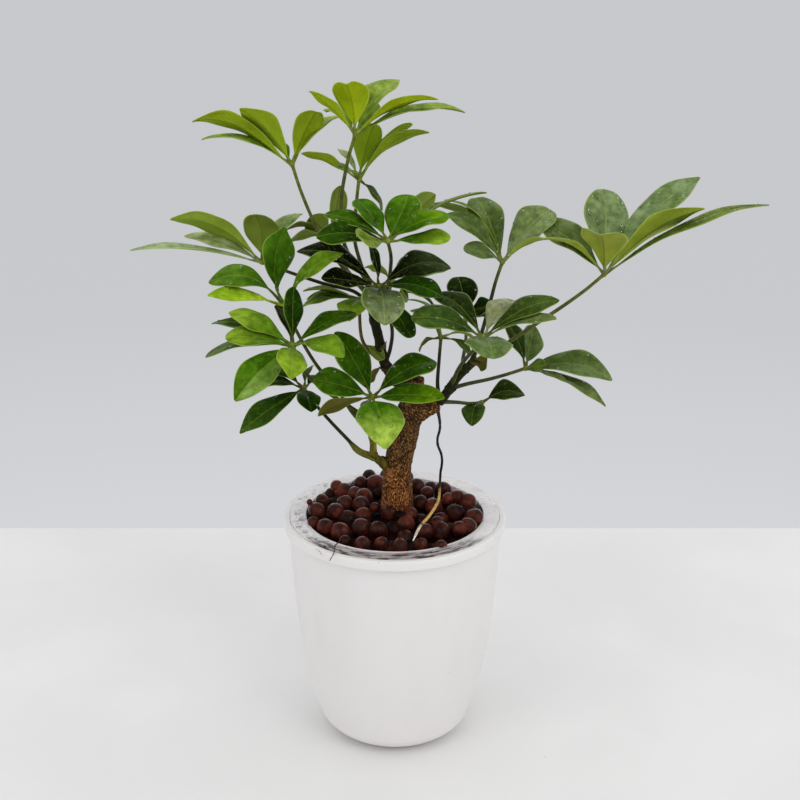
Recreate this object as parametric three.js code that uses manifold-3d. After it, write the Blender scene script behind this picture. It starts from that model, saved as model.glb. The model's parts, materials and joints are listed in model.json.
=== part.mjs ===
// A schefflera growing in clay balls: white pot, clear liner, the heaped balls, a woody stem with green
// shoots, an aerial root, and its compound leaves, each a stalk with leaflets spread from one point.
// Millimetres, +Z up. The origin is the centre of the pot's base, and the front of the plant faces -Y.

import * as THREE from "three";
import { mergeVertices } from "three/addons/utils/BufferGeometryUtils.js";
import Module from "manifold-3d";

const wasm = await Module();
wasm.setup();

// Pot
const POT_DIAMETER = 140;
const POT_HEIGHT = 149.6;
const POT_WALL = 2.8;
const POT_FLOOR = 3;
const FOOT_DIAMETER = 58;
const FOOT_CORNER = [43, 1.2];
const WALL_START = [48.8, 12];
const WALL_BELLY = [64.1, 55];
const LIP_HEIGHT = 6.6;
const LIP_PROUD = 3.2;
const LIP_WALL = 3.7;
const LEDGE_DEPTH = 1.3;
const POT_SIDES = 36;

// Liner and bed
const GAP = 0.3;
const FLANGE_THICKNESS = 1.4;
const LINER_OPENING = 111.6;
const LINER_WALL = 1;
const LINER_FOOT_DIAMETER = 94;
const LINER_DEPTH = 120;
const BALL_DIAMETER = 11.4;
const BALL_SPACING = 11.7;
const BALL_SHAKE = 2.4;
const SMALLEST_BALL = 0.86;
const BALL_RANGE = 0.22;
const FACET_SWELL = 1.06;
const CORE_SUNK = 0.75 * BALL_DIAMETER;
const HEAP_FRONT = 153;
const HEAP_RISE = 6.5;
const HEAP_PEAK = 3.5;
const HEAP_LUMP = 1.6;
const HEAP_SIDES = 20;

// Wood and leaves
const TRUNK_DIAMETER = 19.8;
const TRUNK_X = 1.4;
const ROOT_RADIUS = 0.9;
const STALK_RADII = [1.5, 1.15];
const LEAFLET_STALK_LENGTH = 10;
const LEAFLET_STALK_RADIUS = 0.85;
const LEAFLET_ROOT = 1.2;
const HUB_RADIUS = 2.6;
const BLADE_THICKNESS = 0.7;
const BLADE_FOLD = THREE.MathUtils.degToRad(14);
const EYE = new THREE.Vector3(3, -865, 547);

const potRadius = POT_DIAMETER / 2;
const ledgeHeight = POT_HEIGHT - LEDGE_DEPTH;
const ledgeRadius = potRadius - LIP_WALL;
const flangeTop = ledgeHeight + GAP + FLANGE_THICKNESS;
const openingRadius = LINER_OPENING / 2;
const linerFloor = flangeTop - LINER_DEPTH;
const ballRadius = BALL_DIAMETER / 2;
const trunkRadius = TRUNK_DIAMETER / 2;

const colours = {
  pot: { color: 0xe4e3e1, roughness: 0.35 },
  liner: { color: 0xcfcfd2, roughness: 0.15, transparent: true, opacity: 0.5 },
  clay: { color: 0x4a2520, roughness: 0.45 },
  bark: { color: 0x6f5230, roughness: 0.85 },
  shoot: { color: 0x4a5220, roughness: 0.6 },
  root: { color: 0x3a2f20, roughness: 0.7 },
  leaf: { color: 0x3f7026, roughness: 0.35 },
  youngLeaf: { color: 0x86991c, roughness: 0.4 },
};

// Turns a closed three.js geometry into a solid that can be joined and cut
function solid(geometry) {
  const bare = geometry.clone();
  bare.deleteAttribute("normal");
  bare.deleteAttribute("uv");
  const merged = mergeVertices(bare, 1e-4);
  return new wasm.Manifold(
    new wasm.Mesh({
      numProp: 3,
      vertProperties: new Float32Array(merged.attributes.position.array),
      triVerts: new Uint32Array(merged.index.array),
    }),
  );
}

function geometryOf(body) {
  const mesh = body.getMesh();
  const geometry = new THREE.BufferGeometry();
  geometry.setAttribute("position", new THREE.BufferAttribute(mesh.vertProperties, 3));
  geometry.setIndex(new THREE.BufferAttribute(mesh.triVerts, 1));
  geometry.computeVertexNormals();
  return geometry;
}

function indexed(points, faces) {
  const geometry = new THREE.BufferGeometry().setFromPoints(points);
  geometry.setIndex(faces.flat());
  return geometry;
}

// Lathes a closed half-section about Z
function turned(profile, segments) {
  return new THREE.LatheGeometry(profile, segments).rotateX(Math.PI / 2);
}

function bezier(from, control, to, steps) {
  const curve = new THREE.QuadraticBezierCurve(
    new THREE.Vector2(...from),
    new THREE.Vector2(...control),
    new THREE.Vector2(...to),
  );
  return curve.getPoints(steps);
}

// A round tube through hand-chosen points, with a radius at each of them
function tube(points, radii, sides, steps = 2) {
  const curve = new THREE.CatmullRomCurve3(points.map((p) => new THREE.Vector3(...p)));
  const rings = (points.length - 1) * steps;
  const vertices = [];
  const faces = [];
  const side = new THREE.Vector3(1, 0, 0);
  for (let i = 0; i <= rings; i++) {
    const t = i / rings;
    const along = curve.getTangent(t);
    side.addScaledVector(along, -side.dot(along)).normalize();
    const across = new THREE.Vector3().crossVectors(along, side);
    const span = Math.min(Math.floor(i / steps), radii.length - 2);
    const radius = THREE.MathUtils.lerp(radii[span], radii[span + 1], i / steps - span);
    for (let j = 0; j < sides; j++) {
      const angle = (2 * Math.PI * j) / sides;
      const point = curve.getPoint(t);
      point.addScaledVector(side, radius * Math.cos(angle)).addScaledVector(across, radius * Math.sin(angle));
      vertices.push(point);
    }
  }
  for (let i = 0; i < rings; i++) {
    for (let j = 0; j < sides; j++) {
      const [a, b] = [i * sides + j, i * sides + ((j + 1) % sides)];
      faces.push([a, b, b + sides], [a, b + sides, a + sides]);
    }
  }
  const last = rings * sides;
  for (let j = 1; j < sides - 1; j++) {
    faces.push([0, j + 1, j], [last, last + j, last + j + 1]);
  }
  return indexed(vertices, faces);
}

function pot() {
  const footRadius = FOOT_DIAMETER / 2;
  const lipUnder = POT_HEIGHT - LIP_HEIGHT;
  const wall = (inset, steps) => {
    const start = [WALL_START[0] - inset, WALL_START[1] + inset];
    const belly = [WALL_BELLY[0] - inset, WALL_BELLY[1]];
    return bezier(start, belly, [potRadius - LIP_PROUD - inset, lipUnder], steps);
  };
  const outside = [
    new THREE.Vector2(0, 0),
    ...bezier([footRadius, 0], FOOT_CORNER, WALL_START, 4).slice(0, -1),
    ...wall(0, 4),
    new THREE.Vector2(potRadius - 0.8, lipUnder + 0.2),
    new THREE.Vector2(potRadius, lipUnder + 1.2),
    new THREE.Vector2(potRadius, POT_HEIGHT - 1),
    new THREE.Vector2(potRadius - 0.9, POT_HEIGHT),
    new THREE.Vector2(ledgeRadius + 0.7, POT_HEIGHT),
    new THREE.Vector2(ledgeRadius, POT_HEIGHT - 0.7),
    new THREE.Vector2(ledgeRadius, ledgeHeight),
  ];
  const inside = [
    new THREE.Vector2(potRadius - LIP_PROUD - POT_WALL, ledgeHeight),
    ...wall(POT_WALL, 2).reverse(),
    new THREE.Vector2(footRadius, POT_FLOOR),
    new THREE.Vector2(0, POT_FLOOR),
  ];
  return turned([...outside, ...inside], POT_SIDES);
}

function liner() {
  const footRadius = LINER_FOOT_DIAMETER / 2;
  const profile = [
    [0, linerFloor],
    [footRadius, linerFloor],
    [openingRadius + LINER_WALL, ledgeHeight + GAP],
    [ledgeRadius - GAP, ledgeHeight + GAP],
    [ledgeRadius - GAP, flangeTop],
    [openingRadius, flangeTop],
    [footRadius - LINER_WALL, linerFloor + LINER_WALL],
    [0, linerFloor + LINER_WALL],
  ];
  return turned(profile.map((p) => new THREE.Vector2(...p)), POT_SIDES);
}

// A repeatable number from 0 to 1 for each whole number
function scatter(n) {
  const x = Math.sin(n * 127.1 + 311.7) * 43758.5453;
  return x - Math.floor(x);
}

// Height of the heap over its plan: low in front, higher behind, lumpy, with a peak behind the stem
function heapHeight(x, y) {
  const back = THREE.MathUtils.smoothstep(y, -50, 10);
  const peak = Math.exp(-((x + 14) ** 2 + (y - 36) ** 2) / (2 * 14 ** 2));
  const lumps = Math.sin(x / 6.1 + 0.8) * Math.cos(y / 7.3 - x / 19);
  return HEAP_FRONT + HEAP_RISE * back + HEAP_PEAK * peak + HEAP_LUMP * lumps;
}

// The room inside the liner, a little clear of its wall, and the space over its flange
function linerRoom(top) {
  const rim = openingRadius - GAP - 0.1;
  const foot = LINER_FOOT_DIAMETER / 2 - LINER_WALL - GAP - 0.1;
  const floor = linerFloor + LINER_WALL + GAP;
  const overFlange = flangeTop + GAP;
  const profile = [[0, floor], [foot, floor], [rim, overFlange]];
  if (top > overFlange) {
    profile.push([openingRadius + BALL_DIAMETER, overFlange], [openingRadius + BALL_DIAMETER, top]);
  }
  profile.push([0, top]);
  return profile.map((p) => new THREE.Vector2(...p));
}

function heapCore() {
  const [axis, foot, rim] = linerRoom(0);
  const flatTop = Math.ceil(rim.y) + 1;
  const top = [0.86, 0.5, 0].map((share) => new THREE.Vector2(rim.x * share, flatTop));
  const core = turned([axis, foot, rim, ...top], HEAP_SIDES);
  const place = core.attributes.position;
  for (let i = 0; i < place.count; i++) {
    if (place.getZ(i) === flatTop) {
      place.setZ(i, heapHeight(place.getX(i), place.getY(i)) - CORE_SUNK);
    }
  }
  return core;
}

// Balls of mixed sizes on a shaken triangular grid, each one lying a little higher or lower than the heap
function ballPlaces() {
  const places = [];
  const rowStep = BALL_SPACING * Math.sin(Math.PI / 3);
  for (let row = -6; row <= 6; row++) {
    for (let column = -6; column <= 6; column++) {
      const n = row * 40 + column;
      const x = (column + (row % 2) / 2) * BALL_SPACING + BALL_SHAKE * (scatter(n) - 0.5);
      const y = row * rowStep + BALL_SHAKE * (scatter(n + 900) - 0.5);
      const radius = ballRadius * (SMALLEST_BALL + BALL_RANGE * scatter(n + 1800));
      const clearOfTrunk = Math.hypot(x - TRUNK_X, y) > trunkRadius + 0.55 * radius;
      if (clearOfTrunk && Math.hypot(x, y) < openingRadius - 0.6 * radius) {
        places.push({ x, y, z: heapHeight(x, y) - radius - BALL_SHAKE * scatter(n + 2700), radius });
      }
    }
  }
  return places;
}

function clayBalls(trunkHole) {
  let heap = solid(heapCore());
  for (const ball of ballPlaces()) {
    const facets = new THREE.IcosahedronGeometry(FACET_SWELL * ball.radius, 0);
    heap = heap.add(solid(facets.translate(ball.x, ball.y, ball.z)));
  }
  const room = solid(turned(linerRoom(2 * POT_HEIGHT), HEAP_SIDES));
  return heap.intersect(room).subtract(trunkHole);
}

// The woody parts: points along each, and the radius at each point
const wood = {
  trunk: {
    points: [
      [TRUNK_X, 0, 62], [TRUNK_X, 0, 120], [TRUNK_X, 0, 158], [2, 0, 179], [5, 0, 195], [9.5, 2, 212],
      [12.6, 4, 227], [13.8, 6, 239],
    ],
    radii: [trunkRadius, trunkRadius, trunkRadius, 8.9, 8.7, 8.5, 7.4, 6.4],
    sides: 12,
  },
  burl: {
    points: [[9, 1, 212], [16, 0, 217], [22, -1, 220.5], [26.5, -1, 223.5]],
    radii: [5.5, 5.2, 4.4, 2.9],
    sides: 9,
  },
  right_branch: {
    points: [[27.6, -1, 224.6], [31.5, -3, 231], [38.5, -6, 243], [44, -9, 250], [48.5, -12, 256]],
    radii: [2.9, 2.9, 2.7, 2.5, 2.8],
    sides: 8,
  },
  centre_shoot: {
    points: [
      [9, 4, 230], [1, 2.5, 238], [-5.5, 1.5, 248], [-9.5, 1, 265], [-13, 2, 281], [-16, 5, 300],
    ],
    radii: [4, 3.6, 3.3, 3, 2.8, 2.1],
    sides: 8,
  },
  left_shoot: {
    points: [
      [-2, -1, 178], [-7, -4, 185], [-12.5, -8, 192], [-13.4, -12, 203], [-16, -16, 215], [-19.5, -18, 226],
    ],
    radii: [3.6, 3.3, 3, 2.6, 2.3, 1.9],
    sides: 8,
  },
};

const woodTube = (name, extra = 0) => {
  const { points, radii, sides } = wood[name];
  return solid(tube(points, radii.map((r) => r + extra), sides));
};

// Each leaf: its stalk from the wood to the point where the leaflets meet, and its leaflets as seen from EYE.
// A leaflet's row is its tip in mm to the right, up and nearer than that point, then the width in mm, the turn
// of its upper face away from the viewer in degrees (90 is edge-on, over 90 shows the underside), and the arch
// of its midrib in mm. A seventh value over 1 moves the arch towards the tip, so that the tip curls down.
const leaves = {
  leaf_top: {
    young: true,
    stalk: [[-16, 5, 299.5], [-29.6, 8, 321], [-31.7, 7, 345], [-27, 2, 374], [-22.4, 0, 389.5]],
    leaflets: [
      [-26, 25, 12, 20, 112, 5],
      [-5, 31, 22, 22, 165, 5],
      [27, 31, -20, 20, 50, 6],
      [50, 19, 12, 18, 108, 8],
      [65, 12, -10, 18, 75, 8],
      [-20, 13, -25, 18, 60, 5],
      [5, 25, -30, 18, 40, 5],
    ],
  },
  leaf_top_left: {
    young: true,
    stalk: [
      [-14.4, 3.5, 290], [-21, 8, 296], [-33, 15, 308], [-44, 20, 323], [-55, 17, 350], [-60.6, 15, 369],
    ],
    leaflets: [
      [-57, 24, 10, 20, 125, 11, 1.7],
      [-52, 14, -5, 16, 88, 7],
      [-31, 31, 15, 26, 150, 6, 1.6],
      [-14, 14, -22, 16, 50, 3],
      [14, 32, 12, 20, 150, 5],
      [29, 31, -12, 18, 55, 6],
    ],
  },
  leaf_top_low: {
    young: true,
    stalk: [[-15.2, 4.5, 294.5], [-18, 13, 301], [-24.1, 17, 323], [-23, 21, 343], [-21.3, 25, 358]],
    leaflets: [
      [-35, 15, 8, 18, 105, 2],
      [-13, 18, -18, 16, 40, 3],
      [-12, 6, 20, 14, 88, 2],
      [8, 33, 8, 18, 165, 4],
      [41, 26, 5, 16, 112, 8],
      [32, 33, -12, 18, 60, 5],
      [25, -26, -10, 18, 75, 4],
    ],
  },
  leaf_back_left: {
    stalk: [[-13.4, 3, 284], [-17, 12, 291], [-27, 27, 298], [-37, 44, 308], [-40.5, 50, 316.5]],
    leaflets: [
      [-11, 16, 8, 18, 150, 3],
      [-27, 4, 10, 16, 105, 4],
      [-27, -6, 14, 16, 110, 4],
      [8, 32, 5, 16, 120, 4],
      [15, 10, -25, 18, 60, 4],
    ],
  },
  leaf_front_high: {
    stalk: [[-12, 2, 275], [-5, -8, 296], [-1.9, -20, 319], [-3.5, -40, 336.4]],
    leaflets: [
      [-37, 16, -8, 18, 60, 7],
      [-40, 5, 8, 20, 50, 8],
      [-18, 25, -15, 20, 45, 5],
      [7, 27, -20, 22, 30, 5],
      [34, 14, -5, 18, 65, 6],
      [36, 2, 8, 18, 60, 3],
      [-18, 6, 22, 14, 60, 4],
      [26, 24, -28, 18, 120, 5],
      [58, 28, -38, 14, 85, 5],
    ],
  },
  leaf_front_mid: {
    stalk: [[-5.5, 1, 250], [-2.5, -8, 262], [-1.5, -15, 277], [-8.9, -25, 305.1]],
    leaflets: [
      [-48, 22, -5, 22, 50, 12],
      [42, 11, -8, 24, 40, 10],
      [-34, 5, 10, 18, 55, 5],
      [3, -23, 40, 26, 15, 6],
      [37, -5, 18, 20, 50, 6],
      [-4, 23, -10, 14, 50, 3],
      [18, -30, 20, 18, 30, 4],
    ],
  },
  leaf_inner: {
    stalk: [[-6, 1.5, 250], [-13, 3, 254], [-19.5, 6, 262], [-21.6, 10, 287.4]],
    leaflets: [
      [-35, -5, -5, 16, 70, 6],
      [-34, 5, -2, 14, 85, 3],
      [-5, -11, 25, 16, 25, 3],
      [22, 2, -20, 16, 60, 4],
    ],
  },
  leaf_left_high: {
    stalk: [
      [-10.8, 1.5, 272], [-14.5, 12, 281], [-24, 19, 289], [-42, 21, 293.5], [-66.9, 23, 301.5],
      [-81.2, 25, 306.5],
    ],
    leaflets: [
      [-55, 27, 8, 22, 118, 11],
      [-47, 18, -12, 20, 60, 6],
      [-80, 9, 5, 14, 82, 5],
      [-2, 29, 15, 23, 160, 4],
      [24, 29, -15, 18, 55, 6],
    ],
  },
  leaf_left_mid: {
    stalk: [
      [-16, -15.6, 214], [-24, -17, 222], [-36, -14, 240], [-45.9, -14, 252], [-57, -14, 272],
      [-64.6, -15, 290.5],
    ],
    leaflets: [
      [-3, 46, -15, 20, 20, 5],
      [-44, 15, 5, 22, 45, 13],
      [-44, 7, 18, 16, 60, 3],
      [27, 26, 8, 18, 55, 5],
      [39, 25, -15, 16, 65, 10],
    ],
  },
  leaf_left_front: {
    stalk: [[-18, -17, 221], [-28, -21, 230], [-44.2, -28, 244.4], [-54, -38, 260], [-57.9, -50, 277.3]],
    leaflets: [
      [4, 31, -10, 16, 60, 4],
      [-36, 20, -5, 18, 50, 4],
      [-39, 5, 8, 18, 55, 3],
      [-50, -6, -12, 16, 68, 8],
      [-28, -30, 20, 27, 20, 8],
      [-1, -18, 38, 20, 20, 4],
      [28, -7, 25, 20, 50, 7],
      [35, 17, -12, 20, 55, 7],
      [-46, 14, -22, 16, 60, 7],
    ],
  },
  leaf_left_low: {
    stalkRadii: [2.3, 1.15],
    stalk: [
      [-12.5, -8, 191], [-22, -8, 195], [-29, -6, 202], [-40, 2, 211], [-50, 10, 220], [-56.6, 15, 228],
    ],
    leaflets: [
      [-40, -28, 10, 20, 40, 9],
      [3, -15, 20, 14, 25, 3],
      [-31, 2, 2, 16, 60, 4],
      [-26, 14, -10, 16, 50, 4],
      [6, 14, -12, 10, 60, 2],
      [14, 5, -22, 14, 60, 3],
    ],
  },
  leaf_front_low: {
    stalk: [[-19.5, -18, 225], [-19, -30, 234], [-15, -46, 242], [-12.5, -55, 248]],
    leaflets: [
      [-20, 38, -10, 20, 40, 8],
      [-33, 13, 10, 22, 35, 5],
      [37, 20, -8, 22, 45, 6],
      [40, 0, 12, 20, 50, 4],
      [8, -30, 28, 28, 15, 5],
      [-32, -11, -20, 16, 120, 4],
    ],
  },
  leaf_right_far: {
    stalk: [
      [48.6, -13.3, 254], [63, -11, 263], [83, -6, 275.3], [103, -2, 288], [115, 0, 296.6],
      [125.3, 0, 305.9],
    ],
    leaflets: [
      [1, 50, -18, 28, 25, 4],
      [55, 60, -22, 24, 45, 6],
      [59, 40, 10, 24, 125, 8],
      [94, 45, -5, 16, 80, 9],
      [-2, 24, 45, 28, 160, 4],
      [-42, 29, -10, 22, 50, 6],
      [-37, 20, 22, 14, 100, 9],
    ],
  },
  leaf_right_high: {
    stalk: [[47, -9.8, 255.5], [52, -3, 268], [57.5, 2, 287.3], [61, 6, 300], [64.9, 10, 310.6]],
    leaflets: [
      [-12, 40, -18, 24, 25, 4],
      [-34, 29, 2, 18, 50, 6],
      [-36, 37, -12, 14, 80, 9],
      [-44, 35, -25, 14, 105, 8],
      [-24, 8, 15, 14, 50, 3],
      [32, 31, -10, 26, 35, 6],
      [26, 15, 12, 14, 105, 5],
    ],
  },
  leaf_right_front: {
    stalk: [[35, -4.5, 237], [38, -14, 250], [43, -30, 264], [48, -43, 275], [50.7, -50, 282.4]],
    leaflets: [
      [17, 22, -22, 20, 40, 5],
      [43, 21, -5, 20, 52, 6],
      [40, 10, 8, 16, 75, 5],
      [-36, 27, -26, 20, 60, 8],
      [-40, 11, 10, 20, 58, 5],
      [7, -12, 40, 27, 25, 5],
    ],
  },
  leaf_right_mid: {
    stalk: [[33, -3.5, 234], [44, 3, 235], [58.9, 8, 236.6], [73, 13, 239], [81.5, 15, 241.3]],
    leaflets: [
      [-11, 27, 6, 18, 50, 3],
      [5, 26, -12, 20, 40, 4],
      [53, -6, 5, 24, 45, 10],
      [49, -23, 15, 18, 68, 7],
      [25, -9, 18, 10, 60, 2],
    ],
  },
  leaf_right_low: {
    stalk: [[28, -1, 225], [38, 6, 222], [48, 20, 216], [55.5, 30, 213]],
    leaflets: [
      [27, 4, 0, 18, 45, 6],
      [-7, -16, 12, 15, 30, 3],
    ],
  },
  leaf_right_back: {
    stalk: [[41, -7, 247], [42, 10, 248], [45, 38, 253], [45.6, 55, 261.4]],
    leaflets: [
      [-4, 27, -10, 22, 30, 4],
      [13, 10, -5, 8, 80, 2],
      [18, 8, 8, 16, 50, 3],
    ],
  },
  leaf_right_inner: {
    stalk: [[28, -1, 226], [26.5, 5, 233], [27.5, 14, 247], [28.7, 20, 259.9]],
    leaflets: [
      [-19, 16, 5, 16, 120, 5],
      [-22, 28, -12, 10, 88, 8],
      [-21, 23, -2, 10, 88, 7],
      [-13, -8, 12, 10, 110, 5],
      [16, -11, 5, 12, 60, 4],
      [21, -2, -12, 10, 85, 4],
    ],
  },
  leaf_back: {
    stalk: [[-11.8, 2.5, 277.5], [-8, 14, 281], [-3, 45, 284], [-1.8, 55, 286.6]],
    leaflets: [
      [-17, 8, 5, 16, 110, 3],
      [20, 12, -10, 18, 60, 4],
      [5, -8, -35, 18, 60, 6],
    ],
  },
};

const MIDRIB_STOPS = [0, 0.28, 0.56, 0.82, 1];

// Half the blade's width along it, as a part of its full width: narrow at the base, widest past the middle
function bladeShare(t) {
  return Math.max(0.5 * Math.sin(Math.PI * Math.min(t, 0.995) ** 1.35) ** 0.7, 0.04);
}

// One leaflet with its small stalk, as rings of four points: upper left and right, lower right and left
function leaflet(hub, [right, up, near, width, turn, arch, curl = 1.15]) {
  const sight = EYE.clone().sub(hub).normalize();
  const level = new THREE.Vector3(-sight.y, sight.x, 0).normalize();
  const upward = new THREE.Vector3().crossVectors(sight, level);
  const reach = level.clone().multiplyScalar(right);
  reach.addScaledVector(upward, up).addScaledVector(sight, near);
  const length = reach.length();
  const along = reach.clone().normalize();
  const facing = sight.clone().addScaledVector(along, -sight.dot(along)).normalize();
  const edge = new THREE.Vector3().crossVectors(along, facing);
  if (edge.dot(upward) + 0.3 * edge.dot(level) < 0) {
    edge.negate();
  }
  const angle = THREE.MathUtils.degToRad(turn);
  const normal = facing.multiplyScalar(Math.cos(angle)).addScaledVector(edge, Math.sin(angle));
  const side = new THREE.Vector3().crossVectors(along, normal);

  const bladeStart = Math.min(LEAFLET_STALK_LENGTH, 0.3 * length) / length;
  const stops = [LEAFLET_ROOT / length, ...MIDRIB_STOPS.map((t) => bladeStart + (1 - bladeStart) * t)];
  const points = [];
  stops.forEach((s, i) => {
    const onStalk = i < 2;
    const half = onStalk ? LEAFLET_STALK_RADIUS : width * bladeShare(MIDRIB_STOPS[i - 1]);
    const thickness = onStalk ? 1.6 * LEAFLET_STALK_RADIUS : BLADE_THICKNESS;
    const bow = s ** curl;
    const lift = 4 * arch * bow * (1 - bow) + 0.4 * half * Math.sin(BLADE_FOLD);
    const centre = hub.clone().addScaledVector(reach, s).addScaledVector(normal, lift);
    for (const [across, face] of [[-1, 0.5], [1, 0.5], [1, -0.5], [-1, -0.5]]) {
      const point = centre.clone().addScaledVector(side, across * half);
      points.push(point.addScaledVector(normal, face * thickness));
    }
  });

  const faces = [];
  const last = (stops.length - 1) * 4;
  for (let i = 0; i < last; i += 4) {
    faces.push([i, i + 1, i + 5], [i, i + 5, i + 4], [i + 3, i + 6, i + 2], [i + 3, i + 7, i + 6]);
    faces.push([i + 1, i + 2, i + 6], [i + 1, i + 6, i + 5], [i + 3, i, i + 4], [i + 3, i + 4, i + 7]);
  }
  faces.push([0, 3, 2], [0, 2, 1], [last, last + 2, last + 3], [last, last + 1, last + 2]);
  return indexed(points, faces);
}

function compoundLeaf({ stalk, leaflets, stalkRadii = STALK_RADII }, woodWithGap) {
  const hub = new THREE.Vector3(...stalk.at(-1));
  const radii = stalk.map((_, i) => THREE.MathUtils.lerp(...stalkRadii, i / (stalk.length - 1)));
  let body = solid(tube(stalk, radii, 5, 1));
  body = body.add(solid(new THREE.OctahedronGeometry(HUB_RADIUS, 0).translate(...hub)));
  for (const row of leaflets) {
    body = body.add(solid(leaflet(hub, row)));
  }
  return body.subtract(woodWithGap);
}

// The aerial root hangs from the burl, meets the balls behind its middle, and lies over them to the front
function aerialRoot() {
  const route = [
    [26, -1, 222.5], [28.1, 0, 208.5], [26.6, 3, 197], [29.8, 6, 184], [28.9, 9, 171], [28.4, 7.4, 162],
    [26.8, -10, 161.4], [21.5, -24.5, 159], [15.9, -34.3, 156.6], [11.1, -52, 155.2],
  ];
  const curve = new THREE.CatmullRomCurve3(route.map((p) => new THREE.Vector3(...p)));
  const section = new THREE.Shape().absarc(0, 0, ROOT_RADIUS, 0, 2 * Math.PI);
  const settings = { extrudePath: curve, steps: 24, curveSegments: 3, bevelEnabled: false };
  return new THREE.ExtrudeGeometry(section, settings);
}

const object = new THREE.Group();

function place(name, geometry, look) {
  const mesh = new THREE.Mesh(geometry, new THREE.MeshStandardMaterial(colours[look]));
  mesh.name = name;
  object.add(mesh);
}

const trunk = woodTube("trunk").add(woodTube("burl"));
const trunkWithGap = woodTube("trunk", GAP).add(woodTube("burl", GAP));
const shoots = ["right_branch", "centre_shoot", "left_shoot"];
const woodWithGap = shoots.reduce((body, name) => body.add(woodTube(name, GAP)), trunkWithGap);

place("pot", pot(), "pot");
place("liner", liner(), "liner");
place("clay_balls", geometryOf(clayBalls(trunkWithGap)), "clay");
place("trunk", geometryOf(trunk), "bark");
for (const name of shoots) {
  place(name, geometryOf(woodTube(name).subtract(trunkWithGap)), "shoot");
}
place("aerial_root", geometryOf(solid(aerialRoot()).subtract(trunkWithGap)), "root");
for (const [name, leaf] of Object.entries(leaves)) {
  place(name, geometryOf(compoundLeaf(leaf, woodWithGap)), leaf.young ? "youngLeaf" : "leaf");
}

export default object;
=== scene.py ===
"""The potted schefflera as it looks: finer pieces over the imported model, their materials, light and camera.

Tables and formulas are in millimetres, as in the part's source. Objects are in metres.
"""

import json
import math

import bmesh
import bpy
import numpy as np
from mathutils import Matrix, Vector, noise

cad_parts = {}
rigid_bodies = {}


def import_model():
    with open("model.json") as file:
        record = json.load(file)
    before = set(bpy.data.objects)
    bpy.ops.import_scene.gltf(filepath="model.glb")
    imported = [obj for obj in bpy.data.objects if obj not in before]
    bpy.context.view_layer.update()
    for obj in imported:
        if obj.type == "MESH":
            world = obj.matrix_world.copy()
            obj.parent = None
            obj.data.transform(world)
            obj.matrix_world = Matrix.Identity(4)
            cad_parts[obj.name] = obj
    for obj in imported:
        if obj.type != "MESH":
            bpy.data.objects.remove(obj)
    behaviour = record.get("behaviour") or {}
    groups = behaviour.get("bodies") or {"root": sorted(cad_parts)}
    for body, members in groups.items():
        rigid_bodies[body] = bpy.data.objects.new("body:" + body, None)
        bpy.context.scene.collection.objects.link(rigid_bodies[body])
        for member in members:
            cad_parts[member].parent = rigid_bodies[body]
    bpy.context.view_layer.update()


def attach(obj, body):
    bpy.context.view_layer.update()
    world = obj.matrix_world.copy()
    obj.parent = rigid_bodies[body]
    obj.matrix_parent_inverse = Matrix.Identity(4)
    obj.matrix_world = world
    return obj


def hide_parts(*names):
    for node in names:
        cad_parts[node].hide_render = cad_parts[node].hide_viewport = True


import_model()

MM = 0.001
scene = bpy.context.scene

# The camera of the photograph: its place, how far it looks down, its lens and the frame in pixels
CAMERA_PLACE = np.array([3.3, -865.0, 547.4])
CAMERA_PITCH = math.radians(20.4)
LENS = 67.5
SENSOR = 36
FRAME = 800
PIXELS_DEEP = FRAME * LENS / SENSOR

# The pot and the liner, as in the part's source
POT_RADIUS = 70
POT_HEIGHT = 149.6
POT_WALL = 2.8
POT_FLOOR = 3
FOOT_RADIUS = 29
FOOT_RECESS = 0.7
FOOT_CORNER = (43, 1.2)
WALL_START = (48.8, 12)
WALL_BELLY = (64.1, 55)
WALL_TOP = (66.8, 143)
LEDGE_RADIUS = 66.3
LEDGE_HEIGHT = 148.3
GAP = 0.3
FLANGE_TOP = 150.0
OPENING_RADIUS = 55.8
LINER_WALL = 1
LINER_FOOT = 47
LINER_FLOOR = 30.0

# The heap of clay balls: its height in front, how much it rises to the back, its peak and its lumps
HEAP_FRONT = 153
HEAP_RISE = 6.5
HEAP_PEAK = 3.5
HEAP_LUMPS = 1.6
BALL_RADIUS = 5.7
BALL_SPACING = 11.7
BALL_SHAKE = 2.4
SMALLEST_BALL = 0.86
BALL_RANGE = 0.22
CORE_SUNK = 8.55
TRUNK_X = 1.4
TRUNK_RADIUS = 9.9

# Leaves: the eye that their rows are drawn for, then where a blade starts, in mm from its hub and at most
# as a part of its leaflet's length, and the leaf whose blades start further out
EYE = np.array([3.0, -865.0, 547.0])
BLADE_START = (4.5, 0.2)
LONG_STALKLETS = {"leaf_left_mid": (12, 0.3)}
HUB_RADIUS = 1.8
BLADE_ROWS = 30
BLADE_COLUMNS = 6


def rgb(red, green, blue):
    """A colour of the screen, 0 to 255, as linear light"""
    def linear(value):
        share = value / 255
        return share / 12.92 if share <= 0.04045 else ((share + 0.055) / 1.055) ** 2.4
    return (linear(red), linear(green), linear(blue), 1.0)


# Small geometry tools


def unit(vector):
    vector = np.asarray(vector, float)
    return vector / np.linalg.norm(vector)


def smoothstep(x, low, high):
    share = np.clip((np.asarray(x, float) - low) / (high - low), 0, 1)
    return share * share * (3 - 2 * share)


def scatter(n):
    """The repeatable number from 0 to 1 that the part's source uses"""
    x = math.sin(n * 127.1 + 311.7) * 43758.5453
    return x - math.floor(x)


def noise_at(points, size, offset=(0, 0, 0)):
    """Smooth noise from -1 to 1 at each point: the larger the size, the finer it is"""
    return np.array([noise.noise(Vector(p) * size + Vector(offset)) for p in points])


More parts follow.
